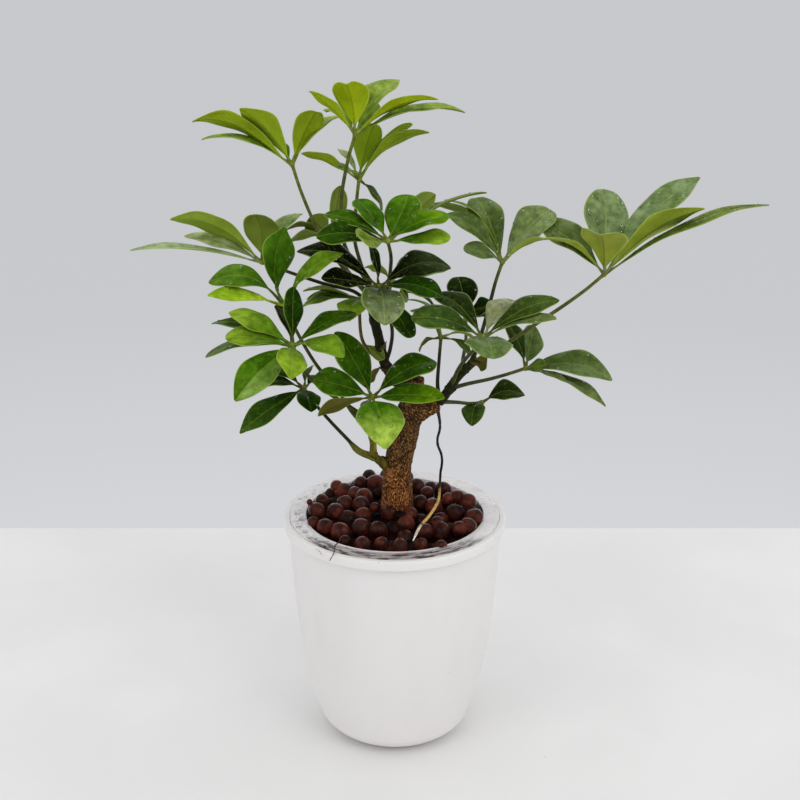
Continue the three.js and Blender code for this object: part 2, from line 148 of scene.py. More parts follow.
def grid_normals(grid):
    """Unit normals of a grid of points"""
    normals = np.cross(np.gradient(grid, axis=0), np.gradient(grid, axis=1))
    return normals / np.maximum(np.linalg.norm(normals, axis=2, keepdims=True), 1e-9)


def around(side, across, angle):
    return side * math.cos(angle) + across * math.sin(angle)


def smooth_curve(points, steps):
    """Samples of the centripetal curve through points, and the place of each sample among them"""
    p = np.array(points, float)
    p = np.vstack([2 * p[0] - p[1], p, 2 * p[-1] - p[-2]])
    samples = []
    spots = []
    spans = len(points) - 1
    for i in range(1, spans + 1):
        a, b, c, d = p[i - 1 : i + 3]
        before, here, after = (np.linalg.norm(q) ** 0.5 for q in (b - a, c - b, d - c))
        leave = ((b - a) / before - (c - a) / (before + here) + (c - b) / here) * here
        arrive = ((c - b) / here - (d - b) / (here + after) + (d - c) / after) * here
        count = steps + (i == spans)
        for k in range(count):
            t = k / steps
            hermite = (
                (2 * t**3 - 3 * t**2 + 1) * b + (t**3 - 2 * t**2 + t) * leave
                + (3 * t**2 - 2 * t**3) * c + (t**3 - t**2) * arrive
            )
            samples.append(hermite)
            spots.append(i - 1 + t)
    return np.array(samples), np.array(spots)


def tube(path, radii, sides):
    """Rings round a path, with both ends closed by a flat face"""
    path = np.asarray(path, float)
    radii = np.broadcast_to(radii, (len(path),))
    tangents = np.gradient(path, axis=0)
    side = np.array([1.0, 0.0, 0.0])
    if abs(unit(tangents[0])[0]) > 0.9:
        side = np.array([0.0, 1.0, 0.0])
    angles = np.arange(sides) * 2 * math.pi / sides
    points = []
    for place, tangent, radius in zip(path, tangents, radii):
        along = unit(tangent)
        side = unit(side - along * side.dot(along))
        across = np.cross(along, side)
        ring = place + radius * (np.cos(angles)[:, None] * side + np.sin(angles)[:, None] * across)
        points.append(ring)
    faces = []
    for i in range(len(path) - 1):
        for j in range(sides):
            a, b = i * sides + j, i * sides + (j + 1) % sides
            faces.append((a, b, b + sides, a + sides))
    last = (len(path) - 1) * sides
    faces.append(tuple(range(sides - 1, -1, -1)))
    faces.append(tuple(range(last, last + sides)))
    return np.concatenate(points), faces


def turned(profile, sides):
    """Lathes a half-section about Z. Points on the axis become one point."""
    points = []
    rings = []
    for radius, height in profile:
        if radius < 1e-6:
            rings.append([len(points)])
            points.append((0, 0, height))
            continue
        rings.append(list(range(len(points), len(points) + sides)))
        for j in range(sides):
            angle = 2 * math.pi * j / sides
            points.append((radius * math.cos(angle), radius * math.sin(angle), height))
    faces = []
    for low, high in zip(rings, rings[1:]):
        for j in range(sides):
            k = (j + 1) % sides
            corners = [low[j % len(low)], low[k % len(low)], high[k % len(high)], high[j % len(high)]]
            faces.append(tuple(dict.fromkeys(corners)))
    return np.array(points), faces


def bezier(start, control, end, steps):
    t = np.linspace(0, 1, steps + 1)[:, None]
    start, control, end = (np.array(p, float) for p in (start, control, end))
    return ((1 - t) ** 2 * start + 2 * t * (1 - t) * control + t**2 * end).tolist()


def rounded(corner, before, after, radius, steps=4):
    """Points that round off a corner of a profile"""
    corner = np.array(corner, float)
    start = corner + unit(np.array(before) - corner) * radius
    end = corner + unit(np.array(after) - corner) * radius
    return bezier(start, corner, end, steps)


class Piece:
    """Points, faces, material numbers and point attributes, gathered into one object"""

    def __init__(self):
        self.points = []
        self.faces = []
        self.materials = []
        self.tints = []
        self.blades = []
        self.count = 0

    def add(self, points, faces, material=0, tint=(1, 1, 1, 1), blade=(0, 0, 0)):
        points = np.asarray(points, float)
        self.points.append(points)
        self.faces += [tuple(i + self.count for i in face) for face in faces]
        self.materials += [material] * len(faces)
        self.tints.append(np.broadcast_to(np.asarray(tint, float), (len(points), 4)))
        self.blades.append(np.broadcast_to(np.asarray(blade, float), (len(points), 3)))
        self.count += len(points)

    def build(self, name, materials, slot, *nodes):
        mesh = bpy.data.meshes.new(name)
        mesh.from_pydata((np.concatenate(self.points) * MM).tolist(), [], self.faces)
        for material in materials:
            mesh.materials.append(material)
        mesh.polygons.foreach_set("material_index", self.materials)
        mesh.polygons.foreach_set("use_smooth", [True] * len(self.faces))
        tint = mesh.attributes.new("tint", "FLOAT_COLOR", "POINT")
        tint.data.foreach_set("color", np.concatenate(self.tints).ravel())
        blade = mesh.attributes.new("blade", "FLOAT_VECTOR", "POINT")
        blade.data.foreach_set("vector", np.concatenate(self.blades).ravel())
        mesh.update()
        piece = bpy.data.objects.new(name, mesh)
        scene.collection.objects.link(piece)
        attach(piece, "root")
        if nodes:
            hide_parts(*nodes)
        return piece


# Materials


class Material:
    """A Principled material and short names for the nodes that feed it"""

    def __init__(self, name, **values):
        self.material = bpy.data.materials.new(name)
        self.material.use_nodes = True
        self.tree = self.material.node_tree
        self.shader = self.tree.nodes["Principled BSDF"]
        for socket, value in values.items():
            self.shader.inputs[socket.replace("_", " ")].default_value = value
        self.objects = self.new("ShaderNodeTexCoord").outputs["Object"]

    def new(self, kind, **settings):
        node = self.tree.nodes.new(kind)
        for key, value in settings.items():
            setattr(node, key, value)
        return node

    def feed(self, socket, value):
        """Sets a socket to a number or colour, or links it"""
        if isinstance(value, bpy.types.NodeSocket):
            self.tree.links.new(value, socket)
        else:
            socket.default_value = value

    def surface(self, **links):
        """Feeds the shader, and gives the finished material"""
        for socket, value in links.items():
            self.feed(self.shader.inputs[socket.replace("_", " ")], value)
        return self.material

    def attribute(self, name):
        return self.new("ShaderNodeAttribute", attribute_name=name)

    def tint(self):
        """The colour that each point of the mesh holds"""
        return self.attribute("tint").outputs["Color"]

    def split(self, vector):
        node = self.new("ShaderNodeSeparateXYZ")
        self.feed(node.inputs[0], vector)
        return node.outputs

    def stretched(self, upright, level=1):
        """Places on the object, scaled along Z and across it: a small scale makes a pattern long"""
        node = self.new("ShaderNodeMapping")
        node.inputs["Scale"].default_value = (level, level, upright)
        self.feed(node.inputs["Vector"], self.objects)
        return node.outputs["Vector"]

    def noise(self, scale, detail, vector=None):
        node = self.new("ShaderNodeTexNoise")
        node.inputs["Scale"].default_value = scale
        node.inputs["Detail"].default_value = detail
        self.feed(node.inputs["Vector"], vector or self.objects)
        return node.outputs["Fac"]

    def cells(self, scale, vector=None):
        node = self.new("ShaderNodeTexVoronoi")
        node.inputs["Scale"].default_value = scale
        self.feed(node.inputs["Vector"], vector or self.objects)
        return node.outputs["Distance"]

    def steps(self, factor, low, high, start=0.0, end=1.0):
        """Maps factor from low..high to start..end, held at both ends"""
        node = self.new("ShaderNodeMapRange", interpolation_type="SMOOTHSTEP")
        self.feed(node.inputs[0], factor)
        for i, value in enumerate((low, high, start, end), 1):
            self.feed(node.inputs[i], value)
        return node.outputs[0]

    def patches(self, scale, detail, low, high, start=0.0, end=1.0, vector=None):
        """Noise whose low..high becomes start..end"""
        return self.steps(self.noise(scale, detail, vector), low, high, start, end)

    def specks(self, scale, core, edge, patch_scale, threshold):
        """Round specks, 1 out to core and 0 from edge on, in patches only"""
        spots = self.steps(self.cells(scale), core, edge, 1.0, 0.0)
        return self.times(spots, self.patches(patch_scale, 1, threshold, 0.6))

    def math(self, operation, a, b=0.0):
        node = self.new("ShaderNodeMath", operation=operation)
        self.feed(node.inputs[0], a)
        self.feed(node.inputs[1], b)
        return node.outputs[0]

    def times(self, a, b):
        return self.math("MULTIPLY", a, b)

    def plus(self, a, b):
        return self.math("ADD", a, b)

    def mix(self, factor, a, b, blend="MIX"):
        node = self.new("ShaderNodeMix", data_type="RGBA", blend_type=blend)
        self.feed(node.inputs[0], factor)
        self.feed(node.inputs[6], a)
        self.feed(node.inputs[7], b)
        return node.outputs[2]

    def over(self, colour, tone, factor, amount):
        """A colour with a tone laid over it, by amount where factor is 1"""
        return self.mix(self.times(factor, amount), colour, tone)

    def dyed(self, colour, dye):
        return self.mix(1.0, colour, dye, "MULTIPLY")

    def clouded(self, colour, dye, scale, detail, low, high):
        """A colour that is dyed where the noise is low"""
        return self.mix(self.patches(scale, detail, low, high), self.dyed(colour, dye), colour)

    def grazing(self, start, end, low=0.35, high=0.95):
        """From start where a surface faces the viewer to end where it is seen nearly edge-on"""
        return self.steps(self.new("ShaderNodeLayerWeight").outputs["Facing"], low, high, start, end)

    def bump(self, height, distance, strength):
        node = self.new("ShaderNodeBump")
        node.inputs["Strength"].default_value = strength
        node.inputs["Distance"].default_value = distance
        self.feed(node.inputs["Height"], height)
        return node.outputs["Normal"]


# Side veins: their spacing and shake in mm, how their bend grows across the blade, and their width as a
# part of their spacing
VEIN_SPACING = 3.4
VEIN_SHAKE = 2.2
VEIN_BEND = 1.18
VEIN_WIDTH = 0.13


def veins(m):
    """How near a point of a blade is to its midrib, to a side vein and to its margin, each from 0 to 1"""
    along, across, margin = m.split(m.attribute("blade").outputs["Vector"])
    distance = m.math("ABSOLUTE", across)
    midrib = m.steps(distance, 0.12, 0.5, 1.0, 0.0)
    bent = m.math("SUBTRACT", along, m.math("POWER", distance, VEIN_BEND))
    phase = m.math("DIVIDE", m.plus(bent, m.times(m.noise(180, 1), VEIN_SHAKE)), VEIN_SPACING)
    from_vein = m.math("ABSOLUTE", m.math("SUBTRACT", m.math("FRACT", phase), 0.5))
    side_vein = m.steps(from_vein, 0.0, VEIN_WIDTH, 1.0, 0.0)
    return midrib, side_vein, m.steps(margin, 0.91, 0.97)


def leaf_top_material():
    """Deep leathery green, wet in patches, with faint veins and a thin pale margin. Its lighter and darker
    patches are partly the blade's own uneven tone and partly a painted reflection of the sky in the water
    film.
    """
    m = Material(
        "leaf_top", IOR=1.45, Specular_IOR_Level=0.02, Coat_Roughness=0.12, Subsurface_Weight=0.08,
        Subsurface_Radius=(0.6, 1.0, 0.25), Subsurface_Scale=0.001,
    )
    midrib, side_vein, rim = veins(m)
    tint = m.tint()
    # Lighter and darker patches: partly the blade's own tone, partly a painted reflection of the sky in the
    # wet film
    colour = m.clouded(tint, rgb(200, 208, 170), 75, 4, 0.3, 0.7)
    darker = m.dyed(colour, rgb(228, 232, 212))
    lighter = m.dyed(colour, rgb(282, 280, 272))
    colour = m.mix(m.patches(210, 4, 0.35, 0.65), darker, lighter)
    pale = m.mix(0.4, tint, rgb(176, 200, 54))
    flecks = m.patches(420, 3, 0.55, 0.68)
    for factor, amount in ((flecks, 0.16), (side_vein, 0.1), (midrib, 0.5)):
        colour = m.over(colour, pale, factor, amount)
    colour = m.over(colour, m.mix(0.5, tint, rgb(184, 206, 92)), rim, 0.75)
    wet = m.plus(m.times(m.patches(60, 4, 0.42, 0.6), 0.5), 0.1)
    grain = m.plus(m.times(m.noise(900, 2), 0.25), m.times(m.noise(230, 3), 1.2))
    return m.surface(
        Base_Color=colour,
        Roughness=m.patches(140, 3, 0.3, 0.7, 0.34, 0.5),
        Coat_Weight=m.times(wet, m.grazing(0.01, 0.8)),
        Normal=m.bump(m.plus(m.times(side_vein, -0.35), grain), 0.00014, 0.8),
    )


def leaf_under_material():
    """The dull side of a blade: lighter, lit through by the sky, with raised veins"""
    m = Material(
        "leaf_underside", IOR=1.4, Subsurface_Weight=0.25, Subsurface_Radius=(0.7, 1.0, 0.2),
        Subsurface_Scale=0.0012, Specular_IOR_Level=0.12,
    )
    midrib, side_vein, rim = veins(m)
    tint = m.tint()
    colour = m.clouded(tint, rgb(222, 224, 200), 60, 3, 0.3, 0.7)
    deeper = m.dyed(tint, rgb(150, 160, 90))
    colour = m.over(colour, deeper, side_vein, 0.25)
    colour = m.over(colour, deeper, midrib, 0.6)
    colour = m.over(colour, m.mix(0.5, tint, rgb(215, 220, 120)), rim, 0.5)
    height = m.plus(m.times(side_vein, 0.5), m.times(m.noise(1100, 2), 0.4))
    return m.surface(
        Base_Color=colour,
        Roughness=m.patches(160, 2, 0.3, 0.7, 0.48, 0.62),
        Normal=m.bump(height, 0.00015, 0.8),
    )


def stalk_material():
    m = Material(
        "leaf_stalk", Specular_IOR_Level=0.15, Coat_Weight=0.08, Coat_Roughness=0.2, Subsurface_Weight=0.1,
        Subsurface_Radius=(0.7, 1.0, 0.3), Subsurface_Scale=0.001,
    )
    colour = m.clouded(m.tint(), rgb(200, 195, 170), 260, 3, 0.35, 0.7)
    return m.surface(
        Base_Color=m.over(colour, rgb(70, 50, 25), m.patches(700, 2, 0.62, 0.72), 0.4),
        Roughness=m.patches(300, 2, 0.3, 0.7, 0.35, 0.55),
        Normal=m.bump(m.noise(900, 3), 0.0002, 0.6),
    )


def shoot_material():
    """Green stems that turn brown and corky lower down"""
    m = Material("green_shoot", Specular_IOR_Level=0.08, Coat_Weight=0.03, Coat_Roughness=0.25)
    brown = m.patches(190, 4, 0.42, 0.62, vector=m.stretched(0.45))
    corks = m.steps(m.cells(520, m.stretched(0.7)), 0.12, 0.3, 1.0, 0.0)
    colour = m.over(m.tint(), rgb(38, 29, 14), brown, 0.65)
    return m.surface(
        Base_Color=m.over(colour, rgb(134, 124, 66), corks, 0.25),
        Roughness=m.patches(250, 2, 0.3, 0.7, 0.45, 0.7),
        Normal=m.bump(m.plus(m.noise(520, 4, m.stretched(0.5)), corks), 0.0003, 0.7),
    )


def bark_material():
    """Brown bark crowded with golden and nearly black specks, with upright cracks and level scars"""
    m = Material("bark", Specular_IOR_Level=0.1)
    upright = m.stretched(0.35)
    colour = m.mix(m.patches(150, 5, 0.35, 0.65, vector=upright), rgb(54, 32, 15), rgb(102, 68, 34))
    scars = m.patches(210, 4, 0.52, 0.62, vector=m.stretched(1, 0.35))
    moss = m.patches(85, 3, 0.56, 0.7)
    gold = m.patches(1250, 3, 0.52, 0.62, vector=m.stretched(0.8))
    dark = m.patches(820, 5, 0.5, 0.6, vector=m.stretched(0.7))
    layers = (
        (rgb(44, 25, 12), scars, 0.7), (rgb(84, 70, 24), moss, 0.35), (rgb(190, 142, 86), gold, 0.68),
        (rgb(24, 13, 6), dark, 0.78),
    )
    for layer in layers:
        colour = m.over(colour, *layer)
    return m.surface(
        Base_Color=m.dyed(colour, m.tint()),
        Roughness=m.patches(400, 3, 0.3, 0.7, 0.6, 0.9),
        Normal=m.bump(m.plus(m.noise(420, 5, upright), m.times(m.noise(900, 3), 0.6)), 0.0007, 0.9),
    )


def root_material():
    m = Material("aerial_root", Specular_IOR_Level=0.4)
    return m.surface(
        Base_Color=m.clouded(m.tint(), rgb(180, 165, 140), 520, 4, 0.3, 0.55),
        Roughness=m.patches(300, 2, 0.3, 0.7, 0.45, 0.75),
        Normal=m.bump(m.noise(1100, 3), 0.0003, 0.8),
    )


def clay_material():
    """Wet red-brown fired clay: dark from the front, bright where the water film is seen edge-on"""
    m = Material(
        "clay", Specular_IOR_Level=0.08, Coat_Roughness=0.05, Coat_IOR=2.8, Sheen_Weight=0.2,
        Sheen_Roughness=0.15,
    )
    tint = m.tint()
    colour = m.mix(m.patches(150, 4, 0.35, 0.65), rgb(52, 20, 13), rgb(108, 48, 34))
    colour = m.over(colour, rgb(132, 76, 56), m.patches(900, 3, 0.6, 0.7), 0.35)
    pits = m.steps(m.cells(620), 0.05, 0.32)
    wet = m.times(m.steps(tint, 0.14, 0.36), m.patches(95, 3, 0.36, 0.56, 0.6, 1.0))
    return m.surface(
        Base_Color=m.dyed(colour, tint),
        Roughness=m.patches(220, 3, 0.3, 0.7, 0.4, 0.65),
        Coat_Weight=m.times(wet, m.grazing(0.03, 1.0, 0.42, 0.86)),
        Normal=m.bump(m.plus(m.times(pits, 0.5), m.noise(300, 4)), 0.0004, 0.6),
    )


def pot_material():
    """White moulded plastic, a little see-through, with a few dark specks and faint rub marks"""
    m = Material(
        "white_plastic", Subsurface_Weight=0.25, Subsurface_Radius=(1.0, 0.97, 0.95),
        Subsurface_Scale=0.004, IOR=1.46, Specular_IOR_Level=0.35,
    )
    rub = m.patches(26, 4, 0.45, 0.75, vector=m.stretched(0.35))
    colour = m.over(rgb(240, 237, 235), rgb(232, 229, 226), rub, 0.5)
    return m.surface(
        Base_Color=m.over(colour, rgb(120, 108, 98), m.specks(110, 0.03, 0.05, 60, 0.5), 0.55),
        Roughness=m.patches(70, 3, 0.3, 0.7, 0.32, 0.44),
        Normal=m.bump(m.noise(420, 2), 0.00008, 0.5),
    )


def liner_material():
    """Clear plastic that looks milky over the white pot, scuffed and with dried water marks. At the front a
    greyer band and dark streaks are painted shadow: the shaded gap between liner and pot, seen through the
    plastic.
    """
    m = Material("clear_plastic", Transmission_Weight=0.12, IOR=1.45, Specular_IOR_Level=0.4)
    x, y, _ = m.split(m.objects)
    reach = m.math("POWER", m.plus(m.times(x, x), m.times(y, y)), 0.5)
    polar = m.new("ShaderNodeCombineXYZ")
    m.feed(polar.inputs[0], reach)
    m.feed(polar.inputs[1], m.times(m.math("ARCTAN2", y, x), 0.009))
    colour = m.mix(m.patches(95, 4, 0.45, 0.65), rgb(250, 246, 246), rgb(238, 233, 233))
    # Painted shadow at the front only: a greyer band and dark streaks, the shaded gap under the flange seen
    # through the clear plastic
    front_shadow_band = m.times(m.steps(y, -0.034, -0.051), m.steps(reach, 0.0573, 0.0584))
    streaks = m.patches(560, 3, 0.44, 0.58, vector=polar.outputs[0])
    front_shadow_streaks = m.times(m.times(streaks, m.steps(y, -0.03, -0.052)), m.steps(reach, 0.058, 0.061))
    stains = m.patches(210, 4, 0.6, 0.72)
    layers = (
        (rgb(164, 148, 147), front_shadow_band, 0.75), (rgb(46, 36, 34), front_shadow_streaks, 0.92), (rgb(120, 106, 108), stains, 0.14),
    )
    for layer in layers:
        colour = m.over(colour, *layer)
    return m.surface(
        Base_Color=colour,
        Roughness=m.patches(130, 3, 0.35, 0.7, 0.1, 0.34),
        Normal=m.bump(m.noise(240, 3), 0.0002, 0.5),
    )


def water_material():
    m = Material("water", Transmission_Weight=1.0, IOR=1.33, Specular_IOR_Level=0.6)
    return m.surface(
        Base_Color=m.mix(m.noise(200, 1), rgb(250, 252, 252), rgb(240, 246, 246)),
        Roughness=m.patches(300, 1, 0.3, 0.7, 0.0, 0.04),
    )


# The pot, its liner and the clay balls


def pot_profile():
    wall = bezier(WALL_START, WALL_BELLY, WALL_TOP, 40)
    inner = bezier((WALL_START[0] - POT_WALL, WALL_START[1] + POT_WALL),
                   (WALL_BELLY[0] - POT_WALL, WALL_BELLY[1]),
                   (WALL_TOP[0] - POT_WALL, WALL_TOP[1]), 24)
    lip_low = (POT_RADIUS, WALL_TOP[1] + 0.1)
    lip_out = (POT_RADIUS, POT_HEIGHT)
    lip_in = (LEDGE_RADIUS, POT_HEIGHT)
    ledge_out = (LEDGE_RADIUS, LEDGE_HEIGHT)
    profile = [(0, FOOT_RECESS), (FOOT_RADIUS - 4, FOOT_RECESS), (FOOT_RADIUS - 3, 0.0), (FOOT_RADIUS, 0.0)]
    profile += bezier((FOOT_RADIUS, 0), FOOT_CORNER, WALL_START, 16)[1:-1]
    profile += wall
    profile += rounded(lip_low, WALL_TOP, lip_out, 1.1)
    profile += rounded(lip_out, lip_low, lip_in, 1.3, 6)
    profile += rounded(lip_in, lip_out, ledge_out, 0.5)
    profile += [ledge_out, (WALL_TOP[0] - POT_WALL, LEDGE_HEIGHT)]
    profile += inner[::-1] + [(FOOT_RADIUS, POT_FLOOR), (0, POT_FLOOR)]
    return profile


def sharpen(piece, degrees):
    """Smooth shading that stays crisp where faces meet at a larger angle"""
    bm = bmesh.new()
    bm.from_mesh(piece.data)
    for edge in bm.edges:
        edge.smooth = not (len(edge.link_faces) == 2 and edge.calc_face_angle(0) > math.radians(degrees))
    bm.to_mesh(piece.data)
    bm.free()


def pot():
    piece = Piece()
    piece.add(*turned(pot_profile(), 160))
    sharpen(piece.build("white_pot", [pot_material()], "pot", "pot"), 40)


def liner():
    rim_in = (OPENING_RADIUS, FLANGE_TOP)
    rim_out = (LEDGE_RADIUS - 0.1, FLANGE_TOP)
    under_rim = (rim_out[0], LEDGE_HEIGHT + GAP)
    wall_top = (OPENING_RADIUS, LEDGE_HEIGHT)
    foot_out = (LINER_FOOT, LINER_FLOOR)
    foot_in = (LINER_FOOT - 1, LINER_FLOOR + 1)
    profile = [(0, LINER_FLOOR)]
    profile += rounded(foot_out, (0, LINER_FLOOR), wall_top, 2.5)
    profile += [(OPENING_RADIUS + LINER_WALL, LEDGE_HEIGHT + GAP)]
    profile += rounded(under_rim, (0, LEDGE_HEIGHT + GAP), rim_out, 0.3, 2)
    profile += rounded(rim_out, (rim_out[0], 0), rim_in, 0.15, 2)
    profile += rounded(rim_in, rim_out, foot_in, 0.8)
    profile += rounded(foot_in, wall_top, (0, LINER_FLOOR + 1), 1.8)
    profile += [(0, LINER_FLOOR + LINER_WALL)]
    piece = Piece()
    piece.add(*turned(profile, 144))
    sharpen(piece.build("clear_liner", [liner_material()], "liner", "liner"), 50)


def heap_height(x, y):
    """The heap's height over its plan, as in the part's source"""
    back = smoothstep(y, -50, 10)
    peak = np.exp(-((x + 14) ** 2 + (y - 36) ** 2) / (2 * 14**2))
    lumps = np.sin(x / 6.1 + 0.8) * np.cos(y / 7.3 - x / 19)
    return HEAP_FRONT + HEAP_RISE * back + HEAP_PEAK * peak + HEAP_LUMPS * lumps


def ball_places():
    """The balls of the part's source: centre and radius of each"""
    places = []
    for row in range(-6, 7):
        for column in range(-6, 7):
            n = row * 40 + column
            x = (column + math.fmod(row, 2) / 2) * BALL_SPACING + BALL_SHAKE * (scatter(n) - 0.5)
            y = row * BALL_SPACING * math.sin(math.pi / 3) + BALL_SHAKE * (scatter(n + 900) - 0.5)
            radius = BALL_RADIUS * (SMALLEST_BALL + BALL_RANGE * scatter(n + 1800))
            clear = math.hypot(x - TRUNK_X, y) > TRUNK_RADIUS + 0.55 * radius
            if clear and math.hypot(x, y) < OPENING_RADIUS - 0.6 * radius:
                z = float(heap_height(x, y)) - radius - BALL_SHAKE * scatter(n + 2700)
                places.append((np.array([x, y, z]), radius))
    return places


def room_radius(z):
    """The inside of the liner at a height, less the gap; wide open above the flange"""
    inner = np.interp(z, [LINER_FLOOR + 1, FLANGE_TOP], [LINER_FOOT - 1, OPENING_RADIUS]) - GAP - 0.1
    return np.where(np.asarray(z) > FLANGE_TOP + GAP, 1e3, inner)


def keep_in_room(points):
    reach = np.hypot(points[:, 0], points[:, 1])
    scale = np.minimum(1, room_radius(points[:, 2]) / np.maximum(reach, 1e-6))
    points[:, :2] *= scale[:, None]
    return points


def unit_ball(subdivisions):
    bm = bmesh.new()
    bmesh.ops.create_icosphere(bm, subdivisions=subdivisions, radius=1)
    points = np.array([v.co[:] for v in bm.verts])
    faces = [tuple(v.index for v in f.verts) for f in bm.faces]
    bm.free()
    return points, faces


def lumpy(points, size, seed, strength):
    """Pushes the points of a unit ball in and out by smooth noise"""
    push = noise_at(points, size, (seed * 7.3, seed * 3.1, seed * 1.7))
    return points * (1 + strength * push)[:, None]


def core():
    """The bed between the balls, closed down to the liner's floor, tinted dark as painted shade in the gaps
    """
    rings = 40
    low = LINER_FLOOR + LINER_WALL + GAP
    foot = float(room_radius(low))
    rim = float(room_radius(FLANGE_TOP))
    profile = [(0, low), (foot, low)]
    profile += [(rim * (1 - k / rings), POT_HEIGHT) for k in range(rings)] + [(0, POT_HEIGHT)]
    points, faces = turned(profile, 96)
    top = points[:, 2] == POT_HEIGHT
    x, y, _ = points[top].T
    height = heap_height(x, y) - CORE_SUNK
    points[top, 2] = height + 1.2 * noise_at(points[top], 0.35) - CORE_DIP * behind(x, y)
    return keep_in_room(points), faces


# The balls of the top layer as the photograph shows them: across and down in its frame, and radius, in pixels
SEEN_BALLS = [
    (309.5, 502, 3.2), (322, 501, 6.8), (317, 511, 9.2), (336, 512, 9.8), (337, 486.5, 6.4),
    (344, 491.5, 9.5), (361, 483.5, 7), (369, 475.5, 6.5), (376, 485, 10), (354.5, 493.5, 7.4),
    (364, 497.5, 9.2), (361, 505, 8.6), (345, 504, 8.6), (374.5, 507.5, 5.6), (390, 512.5, 9),
    (363, 516.5, 8.8), (361.5, 528, 9.4), (378, 530, 9), (340, 532, 10), (325.5, 526.5, 8.8),
    (313.5, 522, 5.5), (406, 523.5, 9), (410, 514.5, 8.4), (425, 531.5, 8.8), (441, 531, 9.4),
    (437, 523.5, 7.6), (433.5, 507.5, 9.6), (420.5, 502.5, 7.6), (416.5, 487.5, 9.6), (443, 490, 9),
    (457.5, 497.5, 7.8), (467.5, 502.5, 9.4), (474, 517.5, 9.2), (468, 526, 8.8), (459.5, 528.5, 8),
    (455, 513.5, 9), (400, 545.5, 8), (362, 544.5, 8.4), (441, 546.5, 6.8), (381, 544, 7.6),
    (420.5, 544.5, 7.4), (345, 541, 6), (448, 499, 6.5), (427, 493, 6.5), (400, 516, 6),
]
# Two of them are dark: a rough clump of darker clay, and the ball at the trunk's foot, dark as painted shadow
ROUGH_CLUMP = 35
SHADOWED_FOOT_BALL = 44
# The heap's reach, and the depths from the camera where a ball's seat is sought, in mm
HEAP_REACH = 62
SIGHT_DEPTHS = np.arange(820, 1010, 0.25)
# How much lower the balls under the top layer lie, and how much lower they and the core lie behind the trunk
BALLS_BELOW = 2.5
BACK_DIP = 4.5
CORE_DIP = 3
# How near two balls may be, as a part of the sum of their radii
CLOSEST_BALLS = 0.72
# The core's tint: painted shade, as dark as the deep gaps between the balls
CORE_SHADE_TONE = rgb(92, 70, 64)


def line_of_sight(across, down):
    """The direction from the camera to a place in the photograph, one unit deep"""
    right, up = (across - FRAME / 2) / PIXELS_DEEP, (FRAME / 2 - down) / PIXELS_DEEP
    sine, cosine = math.sin(CAMERA_PITCH), math.cos(CAMERA_PITCH)
    return np.array([right, cosine + up * sine, up * cosine - sine])


def seated_ball(across, down, radius):
    """Centre and radius in mm of a ball seen at a place, with its top level with the heap's surface"""
    centres = CAMERA_PLACE + SIGHT_DEPTHS[:, None] * line_of_sight(across, down)
    radii = radius * SIGHT_DEPTHS / PIXELS_DEEP
    clear = centres[:, 2] + radii - heap_height(centres[:, 0], centres[:, 1])
    clear = np.where(np.hypot(centres[:, 0], centres[:, 1]) < HEAP_REACH, clear, np.inf)
    touching = np.flatnonzero(clear <= 0)
    spot = touching[0] if len(touching) else np.argmin(clear)
    return centres[spot], radii[spot]


def behind(x, y):
    """How far a place is behind the trunk and beside it, from 0 to 1"""
    return smoothstep(abs(x), 5, 20) * smoothstep(y, 5, 20)


def all_balls():
    """The top layer, and below it those balls of the part's source that fit between them"""
    places = [seated_ball(*seen) for seen in SEEN_BALLS]
    for centre, radius in ball_places():
        centre = centre - (0, 0, BALLS_BELOW + BACK_DIP * behind(centre[0], centre[1]))
        if all(np.linalg.norm(centre - other) > CLOSEST_BALLS * (radius + size) for other, size in places):
            places.append((centre, radius))
    return places


def clay_balls():
    """The heap. The top layer is lightest; the balls under it are darker, painted shade; the rough clump is
    darkest by its own colour, and the ball at the trunk's foot is as dark, painted shadow.
    """
    ball, ball_faces = unit_ball(3)
    random = np.random.RandomState(11)
    piece = Piece()
    piece.add(*core(), tint=CORE_SHADE_TONE)
    for number, (centre, radius) in enumerate(all_balls()):
        stretch = 1 + 0.09 * (random.rand(3) - 0.5) * 2
        turn = Matrix.Rotation(random.rand() * 6.28, 3, Vector(random.rand(3) - 0.5))
        points = lumpy(ball, 1.4, number, 0.07)
        points = lumpy(points, 4.0, number + 50, 0.15 if number == ROUGH_CLUMP else 0.025) * stretch
        points = points @ np.array(turn) * radius * 1.02
        # Tints: the top layer lightest; the balls under it darker as painted shade; the rough clump darkest
        # by its own colour, the foot ball as dark as painted shadow
        below = number >= len(SEEN_BALLS)
        dark = number in (ROUGH_CLUMP, SHADOWED_FOOT_BALL)
        shade = (70 if dark else 110 if below else 165) + 80 * random.rand()
        piece.add(keep_in_room(points + centre), ball_faces, tint=rgb(shade, shade * 0.97, shade * 0.95))
    piece.build("clay_ball_heap", [clay_material()], "clay", "clay_balls")


# The wood: the points of each centre line, and the radius at each

